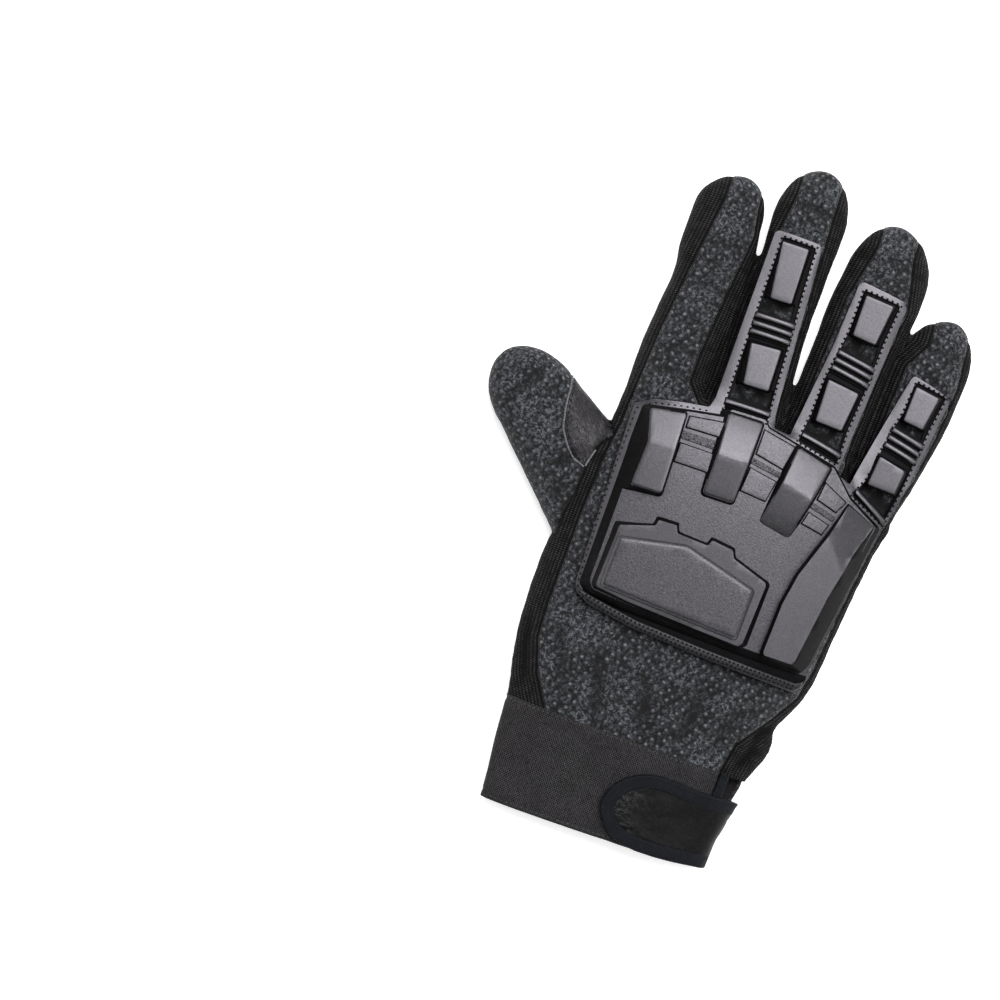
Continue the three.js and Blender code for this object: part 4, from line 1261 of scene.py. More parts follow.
def flat_solid(outlines, low, high, top=None, edge=0.5, segments=4, corner=0.0):
    """A solid between two levels in millimetres, rounded at its corners and upper edges.

    The first outline is its rim and the others are cut out of it. top gives the rim another shape above.
    """
    bm = bmesh.new()
    for outline in outlines:
        loop = [bm.verts.new((x, y, low)) for x, y in outline]
        for a, b in zip(loop, loop[1:] + loop[:1]):
            bm.edges.new((a, b))
    if len(outlines) == 1:
        bmesh.ops.contextual_create(bm, geom=bm.edges[:])
    else:
        bmesh.ops.triangle_fill(bm, edges=bm.edges[:], use_beauty=True)
    made = bmesh.ops.extrude_face_region(bm, geom=bm.faces[:])["geom"]
    raised = [g for g in made if isinstance(g, bmesh.types.BMVert)]
    goes_to = dict(zip([tuple(p) for p in outlines[0]], top or outlines[0]))
    for vertex in raised:
        here = (round(vertex.co.x, 3), round(vertex.co.y, 3))
        there = goes_to.get(here, here)
        vertex.co = (*there, high)
    bmesh.ops.recalc_face_normals(bm, faces=bm.faces)
    if bm.faces[0].normal.z > 0 and abs(bm.faces[0].calc_center_median().z - low) < 1e-6:
        bmesh.ops.reverse_faces(bm, faces=bm.faces)
    if corner:
        tall = UPRIGHT * (high - low)
        upright = [e for e in bm.edges if abs(e.verts[0].co.z - e.verts[1].co.z) > tall
                   and e.calc_face_angle(0) > math.radians(CORNER_ANGLE)]
        bmesh.ops.bevel(bm, geom=upright, offset=corner, segments=CORNER_SEGMENTS, affect="EDGES",
                        profile=0.5, material=-1, clamp_overlap=True)
    upper = [e for e in bm.edges if min(v.co.z for v in e.verts) > high - 1e-4
             and e.calc_face_angle(0) > math.radians(CORNER_ANGLE)]
    bmesh.ops.bevel(bm, geom=upper, offset=edge, segments=segments, affect="EDGES", profile=0.5,
                    material=-1, clamp_overlap=True)
    return bm


trial = flat_solid([PADS[0]], 0, 1)
print("Faces of one pad:", len(trial.faces))
trial.free()

# %% Cut a grid, fold the top and bend it over the hand
GRID_STEP = 2.4
# No cut is made nearer to the far side than this share of a step
LAST_CUT = 0.4
# A ridge is cut this far to both sides, so that it stays a little round
RIDGE_HALF = 0.7


def cut_grid(bm, step=GRID_STEP):
    """Cuts along both directions, so that a flat piece has vertices enough to bend."""
    xs = [v.co.x for v in bm.verts]
    ys = [v.co.y for v in bm.verts]
    for axis, low, high in ((0, min(xs), max(xs)), (1, min(ys), max(ys))):
        normal = Vector((1, 0, 0)) if axis == 0 else Vector((0, 1, 0))
        place = low + step
        while place < high - LAST_CUT * step:
            bmesh.ops.bisect_plane(bm, geom=everything(bm), plane_co=normal * place, plane_no=normal)
            place += step


def fold_top(bm, ridge, low, high):
    """The top falls away on both sides of a ridge line."""
    (x0, y0), (x1, y1), far_slope, near_slope = ridge
    across = Vector((y0 - y1, x1 - x0, 0)).normalized()
    start = Vector((x0, y0, 0))
    for shift in (-RIDGE_HALF, RIDGE_HALF):
        bmesh.ops.bisect_plane(bm, geom=everything(bm), plane_co=start + across * shift, plane_no=across)
    for vertex in bm.verts:
        share = min(1, max(0, (vertex.co.z - low) / (high - low)))
        away = (vertex.co - start).dot(across)
        vertex.co.z -= share * abs(away) * (far_slope if away > 0 else near_slope)


def bend_over(bm, stiff, low, high):
    """Lifts each height onto the hand. A stiff top keeps to the plane that fits the hand best."""
    uppers = [v for v in bm.verts if v.co.z > (low + high) / 2]
    spread = np.array([(1, v.co.x, v.co.y) for v in uppers])
    plane = np.linalg.lstsq(spread, np.array([seat_at(v.co.x, v.co.y) for v in uppers]), rcond=None)[0]
    for vertex in bm.verts:
        x, y, height = vertex.co
        if height < 0:
            vertex.co.z = seat_at(x, y, cloth_grid) + height
            continue
        share = stiff * min(1, max(0, (height - low) / (high - low)))
        flat = plane[0] + plane[1] * x + plane[2] * y
        vertex.co.z = (1 - share) * seat_at(x, y) + share * flat + height
    bmesh.ops.scale(bm, vec=(MM, MM, MM), verts=bm.verts)


# %% One part of the guard
guard = bmesh.new()
# A normal that leans more than this makes a wall, and so does a place nearer to the wrist than this.
# Both get the matt finish, painted almost black as shade.
STEEP = 0.82
NEAR_EDGE = -27.2


def add_to_guard(bm, finish, steep):
    """Adds a part. Faces steeper than this get the matt finish, painted almost black as shade, and so
    does the near edge.
    """
    bm.normal_update()
    for face in bm.faces:
        near = finish != ROLLED and face.calc_center_median().y < NEAR_EDGE * MM
        face.material_index = finish if face.normal.z > steep and not near else MATT_SHADE
    part = bpy.data.meshes.new("guard_part")
    bm.to_mesh(part)
    bm.free()
    guard.from_mesh(part)
    bpy.data.meshes.remove(part)


def mould(outlines, low, high, top=None, edge=0.5, stiff=0.0, ridge=None, finish=SATIN, segments=4,
          corner=0.0, steep=STEEP):
    """One part of the guard, from its foot to its top in millimetres over the seat."""
    bm = flat_solid(outlines, low, high, top, edge, segments, corner)
    if ridge:
        fold_top(bm, ridge, low, high)
    cut_grid(bm)
    bend_over(bm, stiff, low, high)
    add_to_guard(bm, finish, steep)


# %% Outlines moved, nudged and drawn as bars
# At a corner the inset grows by one over the cosine of half its turn, which is kept above this
SHARPEST = 0.4


def inset_outline(outline, depth):
    """The outline moved inwards. It runs clockwise."""
    out = []
    for before, here, after in zip(outline[-1:] + outline[:-1], outline, outline[1:] + outline[:1]):
        a = Vector((here[0] - before[0], here[1] - before[1])).normalized()
        b = Vector((after[0] - here[0], after[1] - here[1])).normalized()
        inward = Vector((a.y + b.y, -a.x - b.x))
        inward = inward.normalized() * depth / max(SHARPEST, math.cos(a.angle(b, 0) / 2))
        out.append((round(here[0] + inward.x, 3), round(here[1] + inward.y, 3)))
    return out


def bar_outline(left, right, half):
    """The four corners of a bar from its left end to its right end."""
    along = Vector((right[0] - left[0], right[1] - left[1])).normalized()
    side = Vector((-along.y, along.x)) * half
    corners = [Vector(left) - side, Vector(right) - side, Vector(right) + side, Vector(left) + side]
    return [(round(c.x, 3), round(c.y, 3)) for c in corners]


def seen_from_camera(top, rise):
    """Top outlines were read off the photograph, where what is nearer the camera lies further out."""
    out = []
    for x, y in top:
        out.append((x - (x - AIM.x / MM) * rise / CAMERA_HEIGHT,
                    y - (y - AIM.y / MM) * rise / CAMERA_HEIGHT))
    return out


def nudged(outline, steps):
    return [(round(x + dx, 3), round(y + dy, 3)) for (x, y), (dx, dy) in zip(outline, steps)]


print("A bar of 20 mm:", bar_outline((0, 0), (20, 0), 1))

# %% Mould the flange, the field and the blocks
# Foot and top of each part over the seat, in millimetres
RECESS_FLOOR = (-2.2, 1.0)
FLANGE_PART = (-2.0, 1.9)
FIELD_PART = (1.4, 4.4)
BLOCK_FOOT = 2.5
BLOCK_RISE = 5

# The floor of the recesses is of the matt finish, painted almost black as shade
mould([FLANGE] + WINDOWS, *RECESS_FLOOR, edge=0.25, segments=2, finish=MATT_SHADE)
mould([FLANGE] + RECESSES, *FLANGE_PART, edge=0.5, corner=0.9, steep=0.35)
mould([FIELD["base"]], *FIELD_PART, top=FIELD["top"], edge=0.6, finish=GRAINED, corner=1.2)
for block in BLOCKS:
    mould([block["base"]], BLOCK_FOOT, block["level"], top=seen_from_camera(block["top"], BLOCK_RISE),
          edge=block.get("edge", 0.95), stiff=block["stiff"], ridge=block.get("ridge"),
          finish=block.get("finish", SATIN), corner=block.get("corner", 1.5),
          steep=block.get("steep", STEEP))
print("Guard faces with its blocks:", len(guard.faces))

# %% Mould the smaller parts
FINGER_BLOCK = (0.2, 5.6)
FINGER_BLOCK_RISE = 4
FINGER_BLOCK_SLOPE = 0.06
PAD = (3.0, 5.3)
PAD_SPREAD = 0.75
MESH_BAND = (3.0, 4.75)
# A thin sheet of the matt finish under each bar paints the shade between the bars
SHADE_SHEET = (0.2, 1.7)
SHADE_SHEET_HALF = 1.8
BAR = (1.5, 3.5)
BAR_HALF = 0.95
HEM = (1.0, 3.4)

for base, top in FINGER_BLOCKS:
    foot = nudged(base, FOOT_NUDGE)
    mould([foot], *FINGER_BLOCK, top=seen_from_camera(nudged(top, TOP_NUDGE), FINGER_BLOCK_RISE),
          edge=0.6, corner=0.9, stiff=1.0, ridge=(*foot[:2], 0, FINGER_BLOCK_SLOPE))
for pad in PADS:
    mould([pad], *PAD, top=inset_outline(pad, -PAD_SPREAD), edge=0.3, finish=GRAINED)
for band in MESH_BANDS:
    mould([band], *MESH_BAND, edge=0.2, finish=MESH)
# Each bar stands on a dark sheet of the matt finish, which paints the shade between the bars
for left, right in BARS:
    mould([bar_outline(left, right, SHADE_SHEET_HALF)], *SHADE_SHEET, edge=0.2, finish=MATT_SHADE)
    mould([bar_outline(left, right, BAR_HALF)], *BAR, edge=0.7, steep=0.55)
# The hem is of the rolled finish, painted darker than the satin as shade
mould([ROLLED_HEM], *HEM, edge=1.0, finish=ROLLED, steep=0.2)
print("Guard faces:", len(guard.faces))

# %% [markdown]
# Moulded rubber copies its mould. The field between the blocks has a sandblasted grain of about
# 0.2 mm, and the rest is satin. The steep walls and the near edge are matt and painted almost black
# as shade, because hardly any light gets between the blocks; so are the floors of the recesses and
# the sheets under the bars. The rolled hem is painted darker than the satin, as shade. One function
# makes all five finishes.

# %% Materials of the guard
def moulded_rubber(name, dark, light, grain_depth, roughness, gloss):
    """Black thermoplastic rubber from a sandblasted mould: satin, with faint flow marks and scuffs.

    The blasted grain is about 0.2 mm and is drawn at 0.6 mm, so that it shows. Each of its pits
    throws back less of the lamps, so the gloss follows the grain.
    """
    material, tree, shader = new_material(name, IOR=1.6)
    shader.inputs["Specular Tint"].default_value = linear("f9f5ff")
    place = add_node(tree, "TexCoord", output="Object")
    grain = add_node(tree, "TexNoise",
                     {"Vector": place, "Scale": 1 / (0.6 * MM), "Detail": 2.0, "Roughness": 0.75})
    cloud = add_node(tree, "TexNoise",
                     {"Vector": place, "Scale": 1 / (9 * MM), "Detail": 3.0, "Roughness": 0.6})
    scuff = add_node(tree, "TexNoise",
                     {"Vector": place, "Scale": 1 / (2.4 * MM), "Detail": 5.0, "Roughness": 0.7})
    colour = tone(tree, cloud, 0.35, 0.65, dark, light)
    colour = darkened(tree, colour, 0.6, grain, 0.34, 0.6, "505050")
    bump = add_node(tree, "Bump", {"Height": grain, "Distance": grain_depth * MM})
    matt = add_node(tree, "MapRange",
                    {"Value": scuff, "To Min": roughness - 0.07, "To Max": roughness + 0.09})
    swing = 3 * grain_depth
    shine = add_node(tree, "MapRange",
                     {"Value": grain, "From Min": 0.3, "From Max": 0.7,
                      "To Min": gloss * (1 - swing), "To Max": gloss * (1 + swing)})
    set_inputs(tree, shader, {"Base Color": colour, "Normal": bump, "Roughness": matt,
                              "Specular IOR Level": shine})
    return material


# In the order of satin, grained, matt, mesh and rolled. The matt finish is painted almost black as
# shade, and the rolled hem darker than the satin as shade
guard_finishes = [
    moulded_rubber("moulded_rubber_satin", "1a191b", "232224", 0.04, 0.33, 0.62),
    moulded_rubber("moulded_rubber_grained", "19181a", "232224", 0.1, 0.38, 0.56),
    moulded_rubber("moulded_rubber_matt", "040404", "080809", 0.05, 0.6, 0.06),
    moulded_rubber("moulded_rubber_mesh", "0a0a0b", "161516", 0.3, 0.45, 0.5),
    moulded_rubber("moulded_rubber_worn", "070708", "131314", 0.1, 0.45, 0.3),
]
print("Materials so far:", len(bpy.data.materials))

# %% Guard as one piece
guard_piece = add_piece("knuckle_guard_moulding", guard, guard_finishes, "moulded_guard", "knuckle_guard")

# %% [markdown]
# The cuff is a band of 38 mm elastic, open at a slit on the little-finger side. The strap and the
# tapes lie over it. Each is drawn flat, as its maker would cut it: how far round the wrist it
# reaches, how far along the arm, and how high it stands. It is then wrapped round the wrist's section.

# %% Rings round the wrist
# Rows of the wrist: y, left side, right side and top
CUFF_ROWS = [
    (-110, -49.0, 32.0, 13.0), (-97, -50.3, 32.8, 13.4), (-84, -51.6, 35.2, 14.0),
    (-78, -52.2, 36.4, 14.4), (-71, -52.9, 37.6, 15.0), (-66, -53.9, 39.8, 15.6),
]
RING_SAMPLES = 721
RING_STEP = 0.25
rings = {}


def wrist_ring(y):
    """Arc length round the wrist from the middle of the back, clockwise, with points and normals."""
    key = round(y / RING_STEP)
    if key not in rings:
        table = np.array(CUFF_ROWS)
        left, right, top = (np.interp(key * RING_STEP, table[:, 0], table[:, k]) for k in (1, 2, 3))
        turns = math.pi / 2 - np.linspace(0, 2 * math.pi, RING_SAMPLES)
        points = np.array([section_point(t, left, right, top, 0, HAND_CROWN) for t in turns])
        steps = np.linalg.norm(np.diff(points, axis=0), axis=1)
        arc = np.concatenate([[0], np.cumsum(steps)])
        along = np.gradient(points, axis=0)
        along /= np.linalg.norm(along, axis=1)[:, None] + 1e-9
        normals = np.stack([-along[:, 1], along[:, 0]], axis=1)
        rings[key] = (arc, points, normals)
    return rings[key]


def arc_where(y, test):
    """The first arc length, going clockwise over the little-finger side, where the test holds."""
    arc, points, _ = wrist_ring(y)
    for length, (x, z) in zip(arc, points):
        if test(x, z):
            return length
    return arc[-1]


print("Round the wrist:", round(wrist_ring(-90)[0][-1]), "mm")

# %% Wrap flat pieces round the wrist
ABOVE_TABLE = 0.02


def wrapped(round_by, y, height):
    """The place in metres of a point this far round the wrist, along the arm and off its section."""
    arc, points, normals = wrist_ring(y)
    length = round_by % arc[-1]
    x, z = (np.interp(length, arc, points[:, k]) for k in (0, 1))
    nx, nz = (np.interp(length, arc, normals[:, k]) for k in (0, 1))
    return Vector((x + nx * height, y, max(z + nz * height, ABOVE_TABLE))) * MM


def wrap_all(bm, lift):
    """Wraps a flat bmesh. Its first coordinate goes round the wrist. Keeps it as the attribute weft."""
    weft = bm.verts.layers.float.new("weft")
    for vertex in bm.verts:
        round_by, y, height = vertex.co
        vertex[weft] = round_by * MM
        vertex.co = wrapped(round_by, y, height + lift(round_by, y))
    bm.normal_update()


print("On the back, in metres:", [round(v, 4) for v in wrapped(0, -90, 1)])

# %% [markdown]
# The elastic is woven with rubber in its warp. It is a grid of fine squares, so that it can follow
# the wrist and take small ripples: gathers where it is sewn to the hand, a soft wave, and a dent along
# each row of stitches. A Solidify modifier gives it its thickness.

# %% Ripples of the elastic
BAND_TOP = -70.3
ELASTIC_WIDTH = 38
# Each dent of a row of stitches: its depth, its middle and its width. The first is from the seam.
SEWN_ROW = (0.35, -1.3, 0.7)
HEM_ROW = (0.3, -105.4, 0.4)
# The gathers fade within this reach of the seam
GATHER_HEIGHT = 0.22
GATHER_SIZE = 2.6
GATHER_REACH = 4
# Each wave: its height and its length, before WAVE_SHARE
BAND_WAVES = [(0.5, 17), (0.16, 6)]
WAVE_SHARE = 0.7
BAND_LIFT = 0.25


def dent(y, depth, middle, width):
    return -depth * math.exp(-((y - middle) / width) ** 2)


def band_ripple(round_by, y):
    """Gathers at the sewn edge, a soft wave, and the turned hem."""
    spot = Vector((round_by, y, 0))
    from_seam = y - BAND_TOP
    gather = GATHER_HEIGHT * math.exp(-(from_seam / GATHER_REACH) ** 2) * noise.noise(spot / GATHER_SIZE)
    waves = sum(height * noise.noise(spot / size) for height, size in BAND_WAVES)
    return gather + waves * WAVE_SHARE + dent(from_seam, *SEWN_ROW) + dent(y, *HEM_ROW) + BAND_LIFT


print("Lift of the elastic:", round(band_ripple(0, -90), 2), "mm")

# %% Elastic band with its slit
BAND_STEPS = (260, 44)
BAND_WALL = 1.6
# The slit runs from this x on the upper side to where the section comes this low on the under side
SLIT_TOP_X = 27.2
SLIT_UNDER_Z = 5.0
# The lower edge of the band, as places in plan
BAND_HEM = [(-62, -108.0), (-8, -106.8), (29, -105.3), (45, -105.2)]
# Faces this high are on the upper side
UPPER_SIDE = 9


def elastic_band():
    """A grid of fine squares, wrapped round the wrist from one side of the slit to the other."""
    bm = bmesh.new()
    bmesh.ops.create_grid(bm, x_segments=BAND_STEPS[0], y_segments=BAND_STEPS[1], size=0.5)
    xs, ys = zip(*BAND_HEM)
    for vertex in bm.verts:
        share, level = vertex.co.x + 0.5, vertex.co.y + 0.5
        near_y = BAND_TOP - ELASTIC_WIDTH + ELASTIC_WIDTH * level
        arc = wrist_ring(near_y)[0]
        start = arc_where(near_y, lambda x, z: x > SLIT_TOP_X)
        end = arc_where(near_y, lambda x, z: x > 0 and z < SLIT_UNDER_Z) - arc[-1]
        round_by = start + (end - start) * share
        flat_x = np.interp(round_by % arc[-1], arc, wrist_ring(near_y)[1][:, 0])
        bottom = np.interp(flat_x, xs, ys)
        vertex.co = (round_by, bottom + (BAND_TOP - bottom) * level, 0)
    wrap_all(bm, band_ripple)
    bmesh.ops.recalc_face_normals(bm, faces=bm.faces)
    outward = sum(f.normal.z for f in bm.faces if f.calc_center_median().z > UPPER_SIDE * MM)
    if outward < 0:
        bmesh.ops.reverse_faces(bm, faces=bm.faces)
    return bm


print("The slit is at:", round(arc_where(-90, lambda x, z: x > SLIT_TOP_X), 1), "mm")

# %% [markdown]
# Elastic and binding tape are narrow weaves: cords run round the wrist and the weft crosses them.
# Two waves multiplied give the blocks of such a weave, and noise gives the flecks of its yarn. The
# strap between the tapes is the creased leather of the thumb inset, in black.

# %% Materials of the cuff
def narrow_weave(name, dark, light, across, along, depth, gloss):
    """Woven elastic or tape: matt cords of this pitch round the wrist and along the arm.

    The yarn is about 0.3 mm, and its flecks are drawn at 0.7 mm, so that they show.
    """
    material, tree, shader = new_material(name, Roughness=0.6, Specular_IOR_Level=gloss)
    place = add_node(tree, "TexCoord", output="Object")
    weft = add_node(tree, "Attribute", output="Fac", attribute_name="weft")
    length = add_node(tree, "SeparateXYZ", {"Vector": place}, "Y")
    weave = add_node(tree, "Math", {0: wave(tree, weft, across), 1: wave(tree, length, along)},
                     operation="MULTIPLY")
    weave = add_node(tree, "MapRange", {"Value": weave, "From Min": -1.0, "To Min": 0.1, "To Max": 0.9})
    fleck = add_node(tree, "TexNoise",
                     {"Vector": place, "Scale": 1 / (0.7 * MM), "Detail": 3.0, "Roughness": 0.8})
    wear = add_node(tree, "TexNoise",
                    {"Vector": place, "Scale": 1 / (8 * MM), "Detail": 3.0, "Roughness": 0.6})
    mixed = add_node(tree, "Mix", {0: 0.55, 2: weave, 3: fleck})
    colour = tone(tree, mixed, 0.4, 0.6, dark, light)
    colour = darkened(tree, colour, 0.35, wear, 0.32, 0.64, "707070")
    bump = add_node(tree, "Bump", {"Height": mixed, "Distance": depth * MM})
    set_inputs(tree, shader, {"Base Color": colour, "Normal": bump})
    return material


elastic = narrow_weave("woven_elastic", "020202", "383638", 0.9, 1.1, 0.45, 0.1)
tape = narrow_weave("grosgrain_tape", "020305", "10131a", 0.7, 0.9, 0.25, 0.12)
# The crease lines of the strap are pale, as painted highlights on the ridges of its wrinkles
strap_leather = creased_leather("coated_leather", "050505", "0b0a0b", "6c6c6e", -24, 1.3, 0.08, 0.15)
print("Materials so far:", len(bpy.data.materials))

# %% Outline of the strap
# The strap as seen from above, from its round end along its upper edge and back along its lower one
STRAP_OUTLINE = [
    (-9, -93.2), (-8.4, -89.6), (-6.7, -86.2), (-4, -83.1), (-0.6, -80.7), (3.2, -79.1), (8, -78.3),
    (15, -78.5), (22.6, -79), (29, -79), (34, -79),
]
STRAP_LOWER = [
    (33, -105), (29, -105.2), (22, -105.9), (15, -106.3), (8, -106.4), (2.6, -105.8), (-1.6, -104.2),
    (-5, -101.5), (-7.4, -98.2), (-8.7, -95.6),
]


# The strap is laid out on the section half way along it, and ends under the hand
STRAP_MIDDLE = -92
END_BELOW = 3
END_BEFORE = 31
strap_end = arc_where(STRAP_MIDDLE, lambda x, z: z < END_BELOW and x < END_BEFORE)
middle_x = wrist_ring(STRAP_MIDDLE)[1][0][0]


def round_from_x(points):
    """Outline points with x as seen from above turned into arc length round the wrist."""
    arc, ring, _ = wrist_ring(STRAP_MIDDLE)
    half = int(np.argmax(ring[:, 0]))
    out = []
    for x, y in points:
        length = np.interp(x, ring[:half, 0], arc[:half]) if x >= middle_x else x - middle_x
        out.append((round(float(length), 3), y))
    return out


strap_outer = round_from_x(STRAP_OUTLINE) + [(round(strap_end, 3), -79.4)]
strap_outer += [(round(strap_end, 3), -104.6)] + round_from_x(STRAP_LOWER)


def inset_to_end(depth, gap):
    """The strap's outline moved inwards, except at its sewn end, where it stops this far short."""
    out = inset_outline(strap_outer, depth)
    for index, point in enumerate(strap_outer):
        if point[0] > strap_end - 0.01:
            out[index] = (round(strap_end - gap, 3), out[index][1])
    return out


print("Strap's reach round the wrist:", round(strap_end, 1), "mm")

# %% Waves of the strap
STRAP_WAVE = (0.3, 9)
STRAP_LIFT = 0.1
# The tape lies closer where it goes round the side of the wrist: by how much, from where, how fast
TAPE_SINK = 0.6
TAPE_SINK_FROM = 22
TAPE_SINK_OVER = 10
# The folds of the leather fan out from a point off its round end, and fade on the way to the side
FAN_FROM = (-14, -97)
FAN_SPREAD = 15
FAN_FADE_FROM = 16
FAN_FADE_OVER = 14


def strap_ripple(round_by, y):
    """The strap waves softly."""
    height, size = STRAP_WAVE
    return height * noise.noise(Vector((round_by, y, 5)) / size) + STRAP_LIFT


def tape_ripple(round_by, y):
    """As the strap, but sunk where it goes round the side of the wrist."""
    share = min(1, max(0, (round_by - TAPE_SINK_FROM) / TAPE_SINK_OVER))
    return strap_ripple(round_by, y) - TAPE_SINK * share


def strap_wrinkles(round_by, y):
    """Shallow folds in the leather, which fan out from the round end."""
    fan = math.atan2(y - FAN_FROM[1], round_by - FAN_FROM[0]) * FAN_SPREAD
    fade = max(0, 1 - max(0, round_by - FAN_FADE_FROM) / FAN_FADE_OVER)
    return (strap_ripple(round_by, y) + 0.34 * fade * noise.noise(Vector((fan, round_by / 9, 2)))
            + 0.16 * fade * noise.noise(Vector((fan * 2.3, round_by / 5, 7))))


print("Strap's height near its round end:", round(strap_wrinkles(0, -92), 2), "mm")

# %% Elastic as a piece
band = add_piece("cuff_elastic", elastic_band(), [elastic], "elastic", "cuff_band")
give_thickness(band, BAND_WALL)
print("Elastic:", len(band.data.vertices), "vertices")

# %% Tapes and strap as pieces
FLAT_STEP = 1.3
STRAP_TAPE = 4.9
# The leather reaches this far under the tape, and stops this short of the strap's sewn end
UNDER_TAPE = 0.5
LEATHER_SHORT = 0.3
TAPE_SHORT = 0.6
# The tape at the slit reaches a little before the slit's edge and further past it
SLIT_BEFORE = 0.4
SLIT_PAST = 3
SLIT_ENDS = (-105.4, -105.0)


def cuff_piece(name, bm, material, slot, replaced, lift):
    """A flat solid cut into a grid, wrapped round the wrist and made a piece."""
    cut_grid(bm, FLAT_STEP)
    wrap_all(bm, lift)
    bmesh.ops.recalc_face_normals(bm, faces=bm.faces)
    add_piece(name, bm, [material], slot, replaced)


slit_edge = arc_where(-90, lambda x, z: x > SLIT_TOP_X)
before, past = round(slit_edge - SLIT_BEFORE, 3), round(slit_edge + SLIT_PAST, 3)
slit_outline = [(before, SLIT_ENDS[0]), (before, BAND_TOP), (past, BAND_TOP), (past, SLIT_ENDS[1])]
slit_solid = flat_solid([slit_outline], -1.7, 0.75, edge=0.5)
cuff_piece("slit_tape", slit_solid, tape, "binding_tape", "slit_binding", band_ripple)
leather_outline = inset_to_end(STRAP_TAPE - UNDER_TAPE, LEATHER_SHORT)
leather = flat_solid([leather_outline], 0.75, 2.15, edge=0.3, segments=2)
cuff_piece("strap_leather", leather, strap_leather, "strap_leather", "strap", strap_wrinkles)
tape_hole = inset_to_end(STRAP_TAPE, TAPE_SHORT)
ring_of_tape = flat_solid([strap_outer, tape_hole], 0.6, 2.9, edge=1.3, segments=5)
cuff_piece("strap_tape", ring_of_tape, tape, "binding_tape", "strap_binding", tape_ripple)

# %% [markdown]
# Thread holds the glove together and shows as rows of short stitches. Each stitch is a ball of a few
# faces, drawn out and half sunk in the cloth, because there are hundreds. Where leather is sewn to the
# knit its cut edge stands up as a thin pale cord, and piping runs round the inset at the thumb.

# %% Lines along the seams
surface = BVHTree.FromBMesh(soft)
soft.faces.ensure_lookup_table()
label_at = [f.material_index for f in soft.faces]
# A line of fewer points than this is a speck where three panels meet
SHORTEST_LINE = 8


def seam_lines(first, second):
    """Smoothed lines of points where these two panels meet."""
    wanted = {PANELS.index(first), PANELS.index(second)}
    links = {}
    for edge in soft.edges:
        if len(edge.link_faces) == 2 and {f.material_index for f in edge.link_faces} == wanted:
            for a, b in (edge.verts, reversed(edge.verts)):
                links.setdefault(a, []).append(b)
    lines = []
    while links:
        ends = [v for v, others in links.items() if len(others) == 1]
        here = ends[0] if ends else next(iter(links))
        line = [here.co.copy()]
        while links.get(here):
            there = links[here].pop()
            links[there].remove(here)
            line.append(there.co.copy())
            here = there
        links = {v: others for v, others in links.items() if others}
        if len(line) > SHORTEST_LINE:
            lines.append(smooth_line(line))
    return lines


def smooth_line(line, rounds=4):
    """Each point moves half way to the middle between the two beside it, this many times."""
    points = np.array(line)
    for _ in range(rounds):
        points[1:-1] = (points[:-2] + 2 * points[1:-1] + points[2:]) / 4
    return points


print("Seams of the palm patch:", len(seam_lines("palm_patch", "palm_leather")))

# %% Places at a steady pitch
LOOK_AHEAD = 0.3


def spaced(points, pitch):
    """Points at a steady pitch along a line, each with the direction of the line there."""
    steps = np.linalg.norm(np.diff(points, axis=0), axis=1)
    arc = np.concatenate([[0], np.cumsum(steps)])
    count = max(1, int(arc[-1] / (pitch * MM)))
    lengths = (np.arange(count) + 0.5) * arc[-1] / count
    places = np.stack([np.interp(lengths, arc, points[:, k]) for k in range(3)], axis=1)
    further = lengths + LOOK_AHEAD * MM
    ahead = np.stack([np.interp(further, arc, points[:, k]) for k in range(3)], axis=1)
    return [(Vector(p), Vector(q - p).normalized()) for p, q in zip(places, ahead)
            if np.linalg.norm(q - p) > 1e-7]


print("Places on 10 mm:", len(spaced(np.array([(0, 0, 0), (0.01, 0, 0)]), 2)))

# %% One stitch
ball = bmesh.new()
bmesh.ops.create_uvsphere(ball, u_segments=6, v_segments=4, radius=1)
stitch_mesh = bpy.data.meshes.new("stitch")
ball.to_mesh(stitch_mesh)
ball.free()


def add_stitch(bm, place, along, normal, length, width):
    """One stitch: a ball drawn out along its line, half sunk."""
    side = normal.cross(along).normalized()
    up = along.cross(side).normalized()
    turn = Matrix((along, side, up)).transposed().to_4x4()
    size = Matrix.Diagonal((length / 2 * MM, width / 2 * MM, width / 2 * MM, 1))
    one = stitch_mesh.copy()
    one.transform(Matrix.Translation(place) @ turn @ size)
    bm.from_mesh(one)
    bpy.data.meshes.remove(one)


print("A stitch has", len(stitch_mesh.polygons), "faces")

# %% Rows of stitches
FACES_UP = 0.3


def stitch_beside(bm, first, second, aside, pitch=2.3, length=1.6, width=0.5):
    """A row on the first panel, this far from its seam with the second one."""
    count = 0
    for line in seam_lines(first, second):
        for place, along in spaced(line, pitch):
            normal = surface.find_nearest(place)[1]
            side = normal.cross(along).normalized() * aside * MM
            for there in (place + side, place - side):
                spot, up, face, _ = surface.find_nearest(there)
                if label_at[face] == PANELS.index(first):
                    add_stitch(bm, spot, along, up, length, width)
                    count += 1
                    break
    return count


def stitch_from_above(bm, tree, line, pitch, length=1.5, width=0.5, sink=0.0):
    """A row along a line in plan, laid onto what lies below it."""
    points = np.array([(x * MM, y * MM, 0) for x, y in line])
    count = 0
    for place, along in spaced(points, pitch):
        spot, up, _, _ = tree.ray_cast(Vector((place.x, place.y, RAY_FROM * MM)), Vector((0, 0, -1)))
        if spot is None or up.z < FACES_UP:
            continue
        ahead = (along - up * along.dot(up)).normalized()
        add_stitch(bm, spot - up * sink * MM, ahead, up, length, width)
        count += 1
    return count


def tree_of(piece):
    """A search tree over a finished piece, with its modifiers."""
    return BVHTree.FromObject(piece, bpy.context.evaluated_depsgraph_get())


print("Panels to stitch:", len(PANELS))

# %% Cords along a seam
CORD_STEP = 0.9
# A cord's thickness varies by this share of its radius, over this length
CORD_WOBBLE = 0.25
WOBBLE_LENGTH = 2.5


